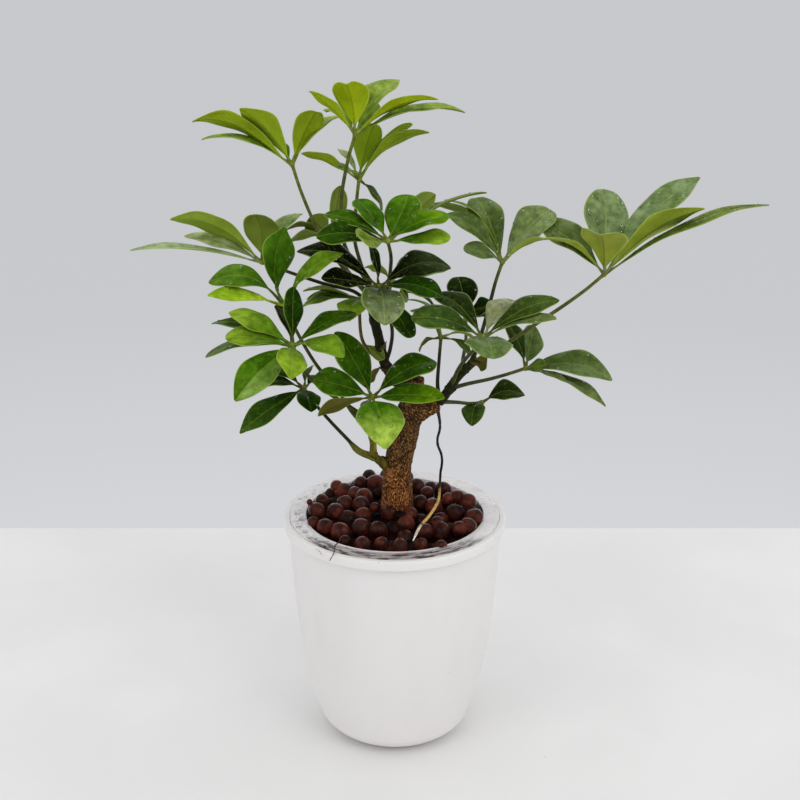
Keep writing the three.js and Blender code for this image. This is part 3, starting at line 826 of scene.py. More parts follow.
WOOD = {
    "trunk": (
        [(1.4, 0, 62), (1.4, 0, 120), (1.4, 0, 158), (1.6, 0, 179), (4, 0, 195), (8, 2, 212),
         (11.6, 4, 227), (12.6, 6, 239)],
        [9.9, 9.9, 9.9, 8.9, 8.7, 8.5, 7.0, 5.4],
    ),
    "burl": (
        [(9, 1, 212), (16, 0, 217), (22, -1, 220.5), (26.5, -1, 223.5)],
        [5.5, 5.2, 4.4, 2.9],
    ),
    "right_branch": (
        [(27.6, -1, 224.6), (31.5, -3, 231), (38.5, -6, 243), (44, -9, 250), (48.5, -12, 256)],
        [2.9, 2.9, 2.7, 2.5, 2.8],
    ),
    "centre_shoot": (
        [(9, 4, 230), (1, 2.5, 238), (-5.5, 1.5, 248), (-9.5, 1, 265), (-13, 2, 281), (-16, 5, 300)],
        [4, 3.6, 3.3, 3, 2.8, 2.1],
    ),
    "left_shoot": (
        [(-2, -1, 178), (-7, -4, 185), (-12.5, -8, 192), (-13.4, -12, 203), (-16, -16, 215),
         (-19.5, -18, 226)],
        [3.3, 2.9, 2.4, 2.0, 1.8, 1.5],
    ),
}


def wood_path(name, steps):
    points, radii = WOOD[name]
    path, spots = smooth_curve(points, steps)
    return path, np.interp(spots, range(len(radii)), radii)


def remeshed(piece, voxel):
    """Replaces a piece's mesh by one even skin round it, and returns the mesh's points and normals in mm"""
    modifier = piece.modifiers.new("skin", "REMESH")
    modifier.mode = "VOXEL"
    modifier.voxel_size = voxel * MM
    modifier.use_smooth_shade = True
    depsgraph = bpy.context.evaluated_depsgraph_get()
    skin = bpy.data.meshes.new_from_object(piece.evaluated_get(depsgraph))
    piece.modifiers.clear()
    old = piece.data
    skin.name = old.name
    piece.data = skin
    bpy.data.meshes.remove(old)
    points, normals = (np.empty(len(skin.vertices) * 3) for _ in range(2))
    skin.vertices.foreach_get("co", points)
    skin.vertex_normals.foreach_get("vector", normals)
    return points.reshape(-1, 3) / MM, normals.reshape(-1, 3)


def bark_relief(place):
    """How far bark stands out at a place: upright cracks, level scars and small warts"""
    x, y, z = place
    cracks = noise.fractal(Vector((x / 1.6, y / 1.6, z / 6.5)), 1.0, 2.0, 4)
    ring = z / 8.6 + 0.5 * noise.noise(Vector((x / 14, y / 14, z / 30)))
    scar = max(0.0, 1 - abs((ring % 1) - 0.5) / 0.12)
    warts = max(0.0, noise.noise(Vector((x / 1.9, y / 1.9, z / 1.9)) + Vector((9, 2, 5))) - 0.25)
    swell = noise.noise(Vector((x / 9, y / 9, z / 16)) + Vector((3, 7, 1)))
    return 0.42 * cracks + 0.38 * scar + 0.9 * warts + 0.55 * swell


# The trunk in mm: its bark's finest detail and the room left for it, the knob on its burl, and where its
# tones change
BARK_VOXEL = 0.62
BARK_ROOM = 0.15
KNOB_PLACE = (24.5, -2.6, 221.2)
KNOB_SIZE = (3.6, 3.4, 3.2)
STUMP_CUT = (236.5, 238.5)
BURL_FROM = (14, 19)
FOOT_UP_TO = (170, 192)
SHADE_FROM = (195, 212)
# How much redder the trunk's foot is than the rest, in red, green and blue
FOOT_WARMTH = (0.72, 0.38, 0.32, 0)


def trunk():
    piece = Piece()
    for name, sides in (("trunk", 48), ("burl", 32)):
        path, radii = wood_path(name, 12)
        piece.add(*tube(path, radii - BARK_ROOM, sides))
    ball, faces = unit_ball(2)
    piece.add(lumpy(ball, 1.5, 4, 0.25) * KNOB_SIZE + KNOB_PLACE, faces)
    bark = bark_material()
    built = piece.build("woody_trunk", [bark], "bark", "trunk")
    points, normals = remeshed(built, BARK_VOXEL)
    mesh = built.data
    mesh.materials.clear()
    mesh.materials.append(bark)
    x, _, z = points.T[:, :, None]
    cut = smoothstep(z, *STUMP_CUT) * (x > 4)
    push = np.array([bark_relief(p) for p in points])[:, None] * (1 - 0.6 * cut)
    mesh.vertices.foreach_set("co", ((points + normals * push) * MM).ravel())
    mesh.update()
    burl = smoothstep(x, *BURL_FROM)
    tints = np.ones((len(points), 4))
    tints += (1 - smoothstep(z, *FOOT_UP_TO)) * np.array(FOOT_WARMTH)
    tints += burl * np.array(rgb(214, 176, 150)) * 0.45 - smoothstep(z, *SHADE_FROM) * 0.22 * (1 - burl)
    tints += cut * (np.array(rgb(150, 120, 108)) - 1) * 0.6
    if "tint" in mesh.attributes:
        mesh.attributes.remove(mesh.attributes["tint"])
    layer = mesh.attributes.new("tint", "FLOAT_COLOR", "POINT")
    layer.data.foreach_set("color", np.clip(tints, 0, 3).ravel())


# Each shoot: its tone at the bottom and at the top, and its nodes as parts of its length
SHOOT_LOOKS = {
    "right_branch": (rgb(22, 26, 6), rgb(36, 46, 10), (0.32, 0.7, 0.98)),
    "centre_shoot": (rgb(30, 21, 8), rgb(28, 35, 8), (0.18, 0.38, 0.55, 0.74, 0.93)),
    "left_shoot": (rgb(66, 50, 22), rgb(180, 168, 52), (0.2, 0.42, 0.66, 0.88)),
}
SHOOT_SIDES = 28
SHEATH_TONE = rgb(90, 76, 36)
SHEATH_HEIGHT = 4.2
SHEATH_THICKNESS = 0.22


def shoot(name, looks):
    """A green stem with swollen nodes, and a dry sheath at each"""
    lower, upper, nodes = looks
    path, radii = wood_path(name, 24)
    share = np.linspace(0, 1, len(path))
    swell = sum(np.exp(-((share - spot) / 0.018) ** 2) for spot in nodes)
    points, faces = tube(path, radii * (1 + 0.13 * swell + 0.05 * noise_at(path, 0.8)), SHOOT_SIDES)
    push = np.array([noise.fractal(Vector(p) * 0.55, 1.0, 2.0, 3) for p in points])
    centres = np.repeat(path, SHOOT_SIDES, axis=0)
    points = points + (points - centres) * (0.05 * push)[:, None]
    mix = np.repeat(share, SHOOT_SIDES)[:, None]
    piece = Piece()
    piece.add(points, faces, tint=np.array(lower) * (1 - mix) + np.array(upper) * mix)
    for number, spot in enumerate(nodes):
        k = int(spot * (len(path) - 2))
        add_sheath(piece, path[k], unit(path[k + 1] - path[k]), radii[k], number)
    piece.build(f"{name}_stem", [shoot_material()], "shoot", name)


def add_sheath(piece, place, along, radius, number):
    """A thin curled scale that wraps part of a stem at a node: a closed sheet over a grid of points"""
    side = unit(np.cross(along, (0.3, -0.8, 0.5)))
    across = np.cross(along, side)
    rows, columns = 8, 10
    points = []
    for i in range(rows + 1):
        rise = i / rows
        for j in range(columns + 1):
            sweep = (j / columns - 0.5) * 2
            angle = 2.4 * number + 0.6 + sweep * (1.5 - 0.9 * rise)
            lift = radius * 1.02 + 0.25 + 0.9 * rise**2
            height = SHEATH_HEIGHT * rise * (1 - 0.25 * sweep**2) - 1.0
            points.append(place + along * height + around(side, across, angle) * lift)
    grid = np.array(points).reshape(rows + 1, columns + 1, 3)
    half = grid_normals(grid) * SHEATH_THICKNESS / 2
    both = np.concatenate([(grid + half).reshape(-1, 3), (grid - half).reshape(-1, 3)])
    piece.add(both, sheet_faces(rows, columns), tint=SHEATH_TONE)


def sheet_faces(rows, columns):
    """Faces of a sheet's upper grid, its lower grid, and the rim between them"""
    wide = columns + 1
    lower = (rows + 1) * wide
    upper_faces = []
    for i in range(rows):
        for j in range(columns):
            a = i * wide + j
            upper_faces.append((a, a + wide, a + wide + 1, a + 1))
    lower_faces = [tuple(k + lower for k in reversed(face)) for face in upper_faces]
    border = list(range(wide))
    border += [i * wide + columns for i in range(1, rows + 1)]
    border += [rows * wide + j for j in range(columns - 1, -1, -1)]
    border += [i * wide for i in range(rows - 1, 0, -1)]
    rim = [(a, b, b + lower, a + lower) for a, b in zip(border, border[1:] + border[:1])]
    return upper_faces + lower_faces + rim


# The aerial root: its route, its radius at parts of its length, its tones, and the knot that sits on it
ROOT_ROUTE = [
    (26, -1, 222.5), (28.1, 0, 208.5), (26.6, 3, 197), (29.8, 6, 184), (28.9, 9, 171), (28.4, 7.4, 162),
    (26.8, -10, 161.4), (21.5, -24.5, 159), (15.9, -34.3, 156.6), (11.1, -52, 155.2),
]
ROOT_RADII = {0: 1.25, 0.1: 0.8, 0.5: 0.8, 0.7: 0.92, 0.95: 0.85, 1: 0.35}
ROOT_TONES = {
    0: rgb(30, 22, 16), 0.47: rgb(22, 18, 14), 0.52: rgb(40, 28, 16), 0.56: rgb(206, 160, 70),
    0.8: rgb(236, 194, 112), 0.86: rgb(224, 170, 92), 0.88: rgb(60, 36, 24), 0.9: rgb(240, 228, 206),
    1: rgb(250, 244, 232),
}
ROOT_SIDES = 14
KNOT_SHARE = 0.53
KNOT_SHIFT = np.array([-1.3, -0.2, -0.6])
KNOT_SIZE = (1.5, 1.3, 2.3)
KNOT_TONE = rgb(22, 15, 11)


def aerial_root():
    path, spots = smooth_curve(ROOT_ROUTE, 16)
    share = spots / spots[-1]
    wander = np.stack([noise_at(path, 0.16, (k * 9.0, 0, 0)) for k in range(3)], axis=1)
    path = path + 0.35 * wander * np.sin(math.pi * share)[:, None]
    radii = np.interp(share, list(ROOT_RADII), list(ROOT_RADII.values())) * (1 + 0.12 * noise_at(path, 0.5))
    tones = np.array(list(ROOT_TONES.values()))
    ring = np.stack([np.interp(share, list(ROOT_TONES), tone) for tone in tones.T], axis=1)
    piece = Piece()
    piece.add(*tube(path, radii, ROOT_SIDES), tint=np.repeat(ring, ROOT_SIDES, axis=0))
    ball, faces = unit_ball(3)
    knot = lumpy(ball, 1.7, 8, 0.3) * KNOT_SIZE + path[np.argmin(abs(share - KNOT_SHARE))] + KNOT_SHIFT
    piece.add(knot, faces, tint=KNOT_TONE)
    material = root_material()
    piece.build("hanging_root", [material], "root", "aerial_root")
    return material


# Where fine roots lie over the rim: across and down in the photograph's frame, and height in mm
FINE_ROOTS = [
    ([(340, 539.5, 150.9), (338.9, 541.5, 150.5), (334.7, 546, 150.4), (334.3, 551.5, 150.4),
      (331.6, 557.4, 150.1), (329.7, 560.6, 148.9)], 0.28, rgb(70, 52, 44)),
    ([(316, 549, 150.0), (319, 551, 149.8), (322, 555, 149.2)], 0.24, rgb(214, 206, 200)),
]


def on_level(across, down, height):
    """The place in mm at a height where the photograph shows a pixel"""
    sight = line_of_sight(across, down)
    return CAMERA_PLACE + sight * (height - CAMERA_PLACE[2]) / sight[2]


def fine_roots(material):
    piece = Piece()
    for seen, radius, tone in FINE_ROOTS:
        path, _ = smooth_curve([on_level(*place) for place in seen], 8)
        piece.add(*tube(path, radius, 8), tint=tone)
    piece.build("fine_roots", [material], "root")


# The leaves

# Each kind of leaflet: the colour of its top near its stalk and near its tip, and of its underside
TONES = {
    # The undersides of young and youngest are painted lighter than their own colour: the glow of light
    # shining through the blade
    "young": ((118, 145, 52), (150, 172, 82), (151, 172, 30)),
    "youngest": ((128, 154, 50), (150, 174, 82), (174, 190, 22)),
    "lime": ((66, 114, 2), (170, 194, 80), (150, 165, 50)),
    "lit": ((196, 224, 56), (150, 186, 30), (150, 176, 50)),
    "strap": ((46, 86, 4), (96, 134, 8), (130, 150, 50)),
    "glow": ((90, 126, 14), (120, 154, 36), (140, 160, 50)),
    "gold": ((86, 122, 10), (142, 174, 48), (140, 160, 50)),
    "sunny": ((80, 120, 12), (130, 160, 46), (124, 146, 50)),
    "meadow": ((76, 118, 20), (90, 128, 36), (120, 144, 46)),
    "pine": ((24, 52, 4), (32, 66, 6), (90, 104, 44)),
    "firm": ((38, 72, 4), (54, 92, 8), (110, 130, 50)),
    "crest": ((30, 58, 8), (60, 92, 30), (100, 118, 46)),
    "broad": ((68, 112, 8), (90, 130, 22), (124, 146, 50)),
    # The lit half of the broad leaflet: paler, painted light where its fold catches more of it
    "broad_pale": ((98, 130, 44), (150, 178, 92), (124, 146, 50)),
    "edge": ((66, 104, 12), (134, 166, 40), (140, 160, 50)),
    "turning": ((14, 30, 3), (42, 76, 8), (100, 118, 46)),
    "dim": ((32, 48, 14), (44, 62, 22), (84, 98, 40)),
    # This tone and the next: green tops mixed with a painted grey sheen, the sky reflected on a wet blade
    "haze": ((84, 104, 56), (114, 132, 86), (116, 136, 58)),
    "frost": ((136, 142, 112), (154, 156, 138), (150, 166, 80)),
    "brown": ((74, 74, 28), (90, 92, 34), (98, 96, 34)),
    "bright": ((66, 104, 14), (108, 140, 40), (124, 146, 50)),
    "grass": ((60, 100, 12), (78, 124, 26), (120, 144, 46)),
    "fresh": ((44, 80, 6), (62, 100, 12), (110, 130, 50)),
    "deep": ((28, 56, 8), (44, 78, 14), (100, 118, 46)),
    "dark": ((12, 24, 6), (24, 44, 11), (72, 86, 40)),
    "night": ((5, 9, 3), (12, 20, 6), (60, 72, 34)),
    "gloom": ((12, 20, 5), (52, 64, 36), (72, 86, 40)),
    # Dark green by the stalk, painted paler towards the tip with the grey sheen of the sky on the wet blade
    "wet": ((32, 56, 6), (126, 138, 102), (110, 130, 58)),
    # This tone and the next two: green tops mixed with a painted grey sheen, the sky reflected on a wet blade
    "sheen": ((132, 150, 108), (128, 146, 102), (150, 166, 56)),
    "silver": ((150, 162, 122), (170, 182, 144), (160, 182, 70)),
    "mist": ((86, 106, 60), (104, 122, 76), (116, 136, 58)),
    "shade": ((48, 68, 24), (68, 90, 38), (90, 104, 44)),
    "olive": ((84, 104, 40), (112, 130, 62), (122, 138, 50)),
    "backlit": ((120, 140, 60), (130, 150, 70), (164, 186, 70)),
}
USUAL_STALK = (70, 78, 22)
HUB_TONE = rgb(140, 148, 44)

# Each leaf, the young ones first: how wet it is, its stalk's colour and points, and its leaflets. A
# leaflet's row is as in the part's source, with some tips moved: the tip to the right, up and nearer than
# the hub, the width, the turn, the arch and, if not the usual ones, its curl and its slant. Then come its
# tone, or those of its right-hand and left-hand halves, and how far its tip is drawn out, or notched if
# below 0, as a part of its blade.
LEAVES = {
    "leaf_top": (3, (84, 92, 34), [
        (-16, 5, 299.5), (-29.6, 8, 321), (-31.7, 7, 345), (-27, 2, 374), (-22.4, 0, 389.5),
    ], [
        ((-26, 24, 12, 15, 112, 2), "youngest", 0.03),
        ((-6, 30, 22, 21, 165, 4), "youngest", -0.13),
        ((26, 31, -20, 22, 50, 6), "young", 0.04),
        ((47, 19, 12, 18, 108, 6), "youngest"),
        ((64, 12, -10, 18, 75, 7), "young", 0.02),
        ((-17, 13, -25, 16, 60, 5), "young"),
        ((5, 25, -30, 18, 40, 5), "young"),
    ]),
    "leaf_top_left": (2, (104, 110, 44), [
        (-14.4, 3.5, 290), (-21, 8, 296), (-33, 15, 308),
        (-44, 20, 323), (-55, 17, 350), (-60.6, 15, 369),
    ], [
        ((-57, 25, 10, 17, 122, 9, 1.5), "young", 0.03),
        ((-53, 15, -5, 13, 75, 7), "young"),
        ((-29, 32, 15, 22, 130, 4), "young", 0.02),
        ((-12, 15, -22, 12, 55, 2), "bright"),
        ((16, 31, 12, 19, 145, 4), "young", -0.06),
        ((31, 28, -12, 14, 65, 5), "young"),
    ]),
    "leaf_top_low": (1, (80, 88, 34), [
        (-15.2, 4.5, 294.5), (-18, 13, 301), (-24.1, 17, 323), (-23, 21, 343), (-21.3, 25, 358),
    ], [
        ((-34, 15, 8, 17, 108, 2), "young"),
        ((-13, 18, -18, 7, 50, 3), "silver", 0.04),
        ((-12, 6, 20, 14, 88, 2), "bright", 0.03),
        ((10, 33, 8, 18, 162, 6), "young", -0.04),
        ((42, 27, 5, 14, 118, 8), "young"),
        ((34, 33, -12, 14, 110, 5), "young", -0.03),
        ((14, -19, -10, 16, 75, 2), "shade", 0.02),
    ]),
    "leaf_back_left": (1, (70, 78, 30), [
        (-13.4, 3, 284), (-17, 12, 291), (-27, 27, 298), (-37, 44, 308), (-40.5, 50, 316.5),
    ], [
        ((-12, 12, 8, 17, 165, 0), "olive"),
        ((-27, 4, 10, 16, 105, 4), "olive"),
        ((-27, -6, 14, 16, 110, 4), "olive"),
        ((7, 31, 5, 16, 135, 1), "olive", 0.02),
        ((15, 10, -25, 18, 60, 4), "deep"),
    ]),
    "leaf_front_high": (9, USUAL_STALK, [
        (-12, 2, 275), (-5, -8, 296), (-1.9, -20, 319), (-3.5, -40, 336.4),
    ], [
        ((-37, 15, -8, 16, 58, 4), "fresh", -0.03),
        ((-40, 2, 8, 19, 48, 4), "turning"),
        ((-18, 24, -15, 19, 50, 2), "grass", -0.03),
        ((12, 27, -20, 22, 30, 0), "grass", -0.03),
        ((35, 14, -5, 19, 56, 4), "strap"),
        ((36, 1, 8, 17, 60, 0), "edge", -0.04),
        ((-17, 3, 25, 14, 50, -2), "backlit"),
        ((28, 27, -40, 17, 150, 1), "olive"),
        ((58, 28, -38, 14, 85, 5), "mist", 0.02),
    ]),
    "leaf_front_mid": (12, (34, 40, 14), [
        (-5.5, 1, 250), (-2.5, -8, 262), (-1.5, -15, 277), (-8.9, -25, 305.1),
    ], [
        ((-48, 21, -13, 19, 50, 8), "night"),
        ((42, 11, -8, 24, 46, 9), "gloom", 0.06),
        ((-33, 5, 10, 16, 50, 1), "night"),
        ((3, -23, 40, 25, 16, 7), "wet", -0.04),
        ((36, -6, 18, 17, 50, 6), "pine"),
        ((-5, 25, -10, 9, 50, 1), "dark"),
        ((19, -30, 20, 14, 32, 1), "deep", -0.04),
    ]),
    "leaf_inner": (2, (104, 94, 42), [
        (-6, 1.5, 250), (-13, 3, 254), (-19.5, 6, 262), (-21.6, 10, 287.4),
    ], [
        ((-35, -5, -5, 14, 66, 4), "sunny"),
        ((-34, 5, -2, 14, 84, 3), "olive"),
        ((-32, 0, -12, 12, 60, 3), "deep"),
        ((-6, -13, 25, 18, 24, 4), "gold"),
        ((22, 2, -20, 16, 60, 4), "deep"),
    ]),
    "leaf_left_high": (3, (40, 44, 20), [
        (-10.8, 1.5, 272), (-14.5, 12, 281), (-24, 19, 289),
        (-42, 21, 293.5), (-66.9, 23, 301.5), (-81.2, 25, 306.5),
    ], [
        ((-54, 27, 8, 22, 122, 9), "backlit", 0.04),
        ((-47, 17, -12, 18, 60, 4), "silver", 0.02),
        ((-79, 9, 5, 13, 75, 4), "silver", 0.03),
        ((-3, 29, 15, 23, 160, 5), "olive", -0.03),
        ((26, 29, -15, 17, 58, 6), "sheen", 0.04),
    ]),
    "leaf_left_mid": (9, USUAL_STALK, [
        (-16, -15.6, 214), (-24, -17, 222), (-36, -14, 240),
        (-45.9, -14, 252), (-57, -14, 272), (-64.6, -15, 290.5),
    ], [
        ((1, 47, -15, 23, 35, -13, 1.15, 1.9), "grass", 0.04),
        ((-44, 15, 5, 21, 48, 13), "meadow"),
        ((-44, 7, 24, 12, 48, 4, 1.15, 1.4), "lit", 0.02),
        ((34, 29, 30, 14, 50, 8), "glow", 0.04),
        ((40, 25, -15, 17, 65, 12), "fresh"),
    ]),
    "leaf_left_front": (7, USUAL_STALK, [
        (-18, -17, 221), (-28, -21, 230), (-44.2, -28, 244.4), (-54, -38, 260), (-57.9, -50, 277.3),
    ], [
        ((1, 34, -10, 15, 40, 0), "pine"),
        ((-36, 20, -5, 18, 50, 4), "sunny", 0.02),
        ((-39, 5, 8, 18, 55, 3), "sunny", -0.03),
        ((-52, -6, -12, 14, 66, 6), "mist", -0.04),
        # Its halves: one in its own tone, one painted lighter where the fold catches the light
        ((-33, -30, 20, 21, 22, 4, 1.15, 1.35), ("broad", "broad_pale"), 0.03),
        ((-2, -18, 38, 18, 15, 4), "gold", 0.03),
        ((28, -7, 25, 17, 52, 6), "glow"),
        ((37, 18, -12, 18, 56, 3), "fresh"),
        ((-47, 14, -22, 16, 62, 6), "shade", 0.04),
        ((-9, 24, -25, 11, 40, 2), "dark"),
    ]),
    "leaf_left_low": (5, (48, 48, 16), [
        (-12.5, -8, 191), (-22, -8, 195), (-29, -6, 202),
        (-40, 2, 211), (-50, 10, 220), (-56.6, 15, 228),
    ], [
        ((-40, -27, 10, 17, 35, 4, 1.15, 1.35), "crest", 0.04),
        ((4, -15, 20, 15, 20, 3, 1.15, 1.3), "pine", -0.02),
        ((-31, 2, 2, 16, 60, 4), "dim"),
        ((-26, 14, -10, 16, 50, 4), "dim"),
        ((6, 14, -12, 9, 60, 2), "shade"),
        ((14, 5, -22, 14, 60, 3), "deep"),
    ]),
    "leaf_front_low": (10, USUAL_STALK, [
        (-19.5, -18, 225), (-19, -30, 234), (-15, -46, 242), (-12.5, -55, 248),
    ], [
        ((-21, 38, -10, 23, 36, 0, 1.15, 1.35), "fresh"),
        ((-34, 10, 10, 20, 36, 2), "fresh"),
        ((37, 20, -8, 22, 45, 6), "firm"),
        ((41, -1, 12, 18, 50, 2, 1.15, 1.1), "strap"),
        ((7, -29, 28, 28, 15, 3, 1.15, 0.98), "lime", 0.06),
        ((-32, -11, -20, 13, 122, 3), "brown", 0.02),
    ]),
    "leaf_right_far": (16, (88, 94, 30), [
        (48.6, -13.3, 254), (63, -11, 263), (83, -6, 275.3),
        (103, -2, 288), (115, 0, 296.6), (125.3, 0, 305.9),
    ], [
        ((-2, 52, -18, 29, 25, 3), "sheen", -0.03),
        ((54, 60, -22, 24, 46, 6), "sheen", 0.03),
        ((56, 40, 10, 23, 118, 7), "sheen", 0.05),
        ((94, 44, -5, 19, 75, 8), "olive", 0.03),
        ((-4, 22, 45, 28, 162, 6), "sheen", -0.06),
        ((-43, 30, -10, 24, 46, 6), "haze", 0.04),
        ((-37, 19, 22, 13, 106, 6), "sheen"),
    ]),
    "leaf_right_high": (14, (50, 58, 22), [
        (47, -9.8, 255.5), (52, -3, 268), (57.5, 2, 287.3), (61, 6, 300), (64.9, 10, 310.6),
    ], [
        ((-18, 40, -18, 22, 25, 4), "mist", -0.05),
        ((-34, 28, 2, 15, 46, 6), "mist"),
        ((-36, 37, -12, 14, 80, 9), "olive"),
        ((-44, 35, -25, 14, 105, 8), "mist", 0.02),
        ((-24, 7, 15, 13, 46, 4), "mist", -0.03),
        ((30, 33, -10, 25, 36, 5), "sheen", -0.06),
        ((27, 14, 12, 14, 104, 3), "sheen"),
    ]),
    "leaf_right_front": (12, USUAL_STALK, [
        (35, -4.5, 237), (38, -14, 250), (43, -30, 264), (48, -43, 275), (50.7, -50, 282.4),
    ], [
        ((18, 22, -22, 19, 42, 4), "frost", -0.03),
        ((43, 22, -5, 19, 53, 5), "shade"),
        ((42, 11, 8, 14, 66, 4, 1.15, 1.8), "mist", -0.02),
        ((-30, 25, -26, 21, 50, 6), "dim"),
        ((-41, 10, 10, 22, 50, 5), "shade"),
        ((6, -12, 40, 27, 28, 4), "mist", -0.02),
    ]),
    "leaf_right_mid": (8, (60, 66, 26), [
        (33, -3.5, 234), (44, 3, 235), (58.9, 8, 236.6), (73, 13, 239), (81.5, 15, 241.3),
    ], [
        ((-13, 28, 6, 17, 55, 2), "dim", -0.02),
        ((4, 27, -12, 19, 42, 0, 1.15, 1.25), "mist"),
        ((53, -6, 5, 21, 45, 9, 1.15, 1.2), "mist"),
        ((49, -22, 15, 13, 62, 5), "mist", 0.05),
        ((25, -8, 18, 7, 60, 2), "mist"),
    ]),
    "leaf_right_low": (5, USUAL_STALK, [
        (28, -1, 225), (38, 6, 222), (48, 20, 216), (55.5, 30, 213),
    ], [
        ((27, 5, 0, 18, 44, 6), "dim", 0.06),
        ((-6, -15, 12, 16, 28, 7), "shade"),
    ]),
    "leaf_right_back": (5, USUAL_STALK, [
        (41, -7, 247), (42, 10, 248), (45, 38, 253), (45.6, 55, 261.4),
    ], [
        ((-6, 27, -10, 21, 20, 4), "dark", -0.04),
        ((15, 3, -5, 13, 50, 2), "dark"),
        ((18, 8, 8, 16, 50, 3), "dark"),
    ]),
    "leaf_right_inner": (1, (44, 50, 18), [
        (28, -1, 226), (26.5, 5, 233), (27.5, 14, 247), (28.7, 20, 259.9),
    ], [
        ((-19, 16, 5, 16, 120, 5), "olive"),
        ((-22, 28, -12, 10, 88, 8), "dark"),
        ((-21, 23, -2, 10, 88, 7), "sheen"),
        ((-13, -9, 12, 8, 112, 3), "brown", 0.02),
        ((18, -12, 5, 9, 60, 4), "shade"),
        ((21, -2, -12, 10, 85, 4), "sheen"),
    ]),
    "leaf_back": (2, USUAL_STALK, [
        (-11.8, 2.5, 277.5), (-8, 14, 281), (-3, 45, 284), (-1.8, 55, 286.6),
    ], [
        ((-17, 8, 5, 16, 110, 3), "olive"),
        ((20, 12, -10, 18, 60, 4), "deep"),
        ((5, -8, -34, 18, 60, 6), "deep"),
    ]),
}

# Young leaflets that sit by themselves on a stem: their leaf, where they start, row, tone and tip
STIPULES = [
    ("leaf_inner", (-19.5, 6, 262), (13, -11, 10, 8, 165, 1), "olive", 0.03),
    ("leaf_inner", (-6.5, 0, 249), (-9, -11, 5, 8, 130, 1), "brown", 0.0),
    ("leaf_right_far", (46, -13.5, 257.5), (9, -6, 4, 12, 140, 2), "brown", 0.05),
    ("leaf_right_mid", (79, 14.6, 241), (15, 3, 6, 10, 35, 0), "olive", 0.0),
]

# A stalk's radius at its start and at its hub, its sides, and the thick yellow-green joint of one of them,
# which ends between two of its points
STALK_RADII = (1.3, 0.95)
STALK_SIDES = 12
JOINTED_LEAF = "leaf_left_low"
JOINT_END = (1.2, 1.9)
JOINT_SWELL = 0.85
JOINT_TONE = rgb(124, 122, 36)
# A leaflet's stalklet: its radius at the hub, where the blade starts, and where it ends under the blade, a
# part of the leaflet's length further on
STALKLET_RADII = (1.25, 0.74, 0.45)
STALKLET_LAP = 0.06
USUAL_CURL = 1.15
YOUNG_LEAVES = 3


class Leaflet:
    """One leaflet's place and shape, by the formula of the part's source"""

    def __init__(self, hub, row, tip, seed, blade_start=BLADE_START):
        right, up, near, self.width, turn, self.arch, *bend = row
        self.hub = hub
        self.tip = tip
        sight = unit(EYE - hub)
        level = unit((-sight[1], sight[0], 0))
        upward = np.cross(sight, level)
        self.reach = level * right + upward * up + sight * near
        self.length = np.linalg.norm(self.reach)
        along = self.reach / self.length
        facing = unit(sight - along * sight.dot(along))
        edge = np.cross(along, facing)
        if edge.dot(upward) + 0.3 * edge.dot(level) < 0:
            edge = -edge
        angle = math.radians(turn)
        self.normal = around(facing, edge, angle)
        self.side = np.cross(along, self.normal)
        stalklet, most = blade_start
        self.start = min(stalklet / self.length, most)
        random = np.random.RandomState(seed)
        self.cup = 0.40 + 0.14 * random.rand()
        self.roll = 0.26 + 0.12 * random.rand()
        self.waves = 0.05 + 0.06 * random.rand()
        self.phases = random.rand(2)
        self.sway = 0.05 * (random.rand() - 0.5)
        self.skew = 1 + 0.12 * (random.rand() - 0.5)
        stout = float(smoothstep(self.width / self.length, 0.5, 0.72))
        self.curl = bend[0] if bend else USUAL_CURL
        self.slant = bend[1] if len(bend) > 1 else 1.6 - 0.42 * stout

    def share(self, u):
        """Half the blade's width over its full width. A small slant makes it widest near its stalk."""
        return np.maximum(0.5 * np.sin(math.pi * np.minimum(u, 0.995) ** self.slant) ** 0.64, 0.03)

    def midrib(self, s):
        bow = s**self.curl
        rise = 4 * self.arch * bow * (1 - bow)
        return self.hub + self.reach * s[..., None] + self.normal * rise[..., None]

    def blade(self, u, c):
        """Points of the blade's middle surface: u along it from 0 to 1, c across it from -1 to 1"""
        lean = np.where(c > 0, self.skew, 2 - self.skew)
        half = self.width * self.share(u) * lean
        x = c * half
        drawn = self.tip * smoothstep(u, 0.6, 1) * np.exp(-((x / (0.15 * self.width)) ** 2))
        s = self.start + (1 - self.start) * (u + drawn) / (1 + max(self.tip, 0))
        phase = np.where(c > 0, self.phases[0], self.phases[1])
        wave = self.waves * np.sin(2 * math.pi * (1.7 * u + phase)) * c**2
        lift = half * (self.cup * np.abs(c) - self.roll * np.abs(c) ** 2.6 + wave)
        sideways = x + self.sway * self.length * np.sin(math.pi * s)
        return self.midrib(s) + self.side * sideways[..., None] + self.normal * lift[..., None]

    def surface(self):
        """Upper and lower points, and what the materials need to know of each"""
        rows = 1 - (1 - np.linspace(0, 1, BLADE_ROWS + 1)) ** 1.25
        steps = np.linspace(-1, 1, 2 * BLADE_COLUMNS + 1)
        columns = np.sign(steps) * np.abs(steps) ** 1.35
        u, c = np.meshgrid(rows, columns, indexing="ij")
        middle = self.blade(u, c)
        normal = grid_normals(middle)
        if (normal.reshape(-1, 3) @ self.normal).sum() < 0:
            normal = -normal
        x = c * self.width * self.share(u)
        groove = np.exp(-((x / 0.55) ** 2)) * (1 - 0.6 * u)
        thick = 0.26 - 0.14 * np.abs(c) ** 3
        upper = middle + normal * (thick - 0.22 * groove)[..., None]
        lower = middle - normal * (thick + 0.34 * groove)[..., None]
        facts = np.stack([u * self.length * (1 - self.start), x, np.abs(c)], axis=-1)
        return upper.reshape(-1, 3), lower.reshape(-1, 3), facts.reshape(-1, 3)


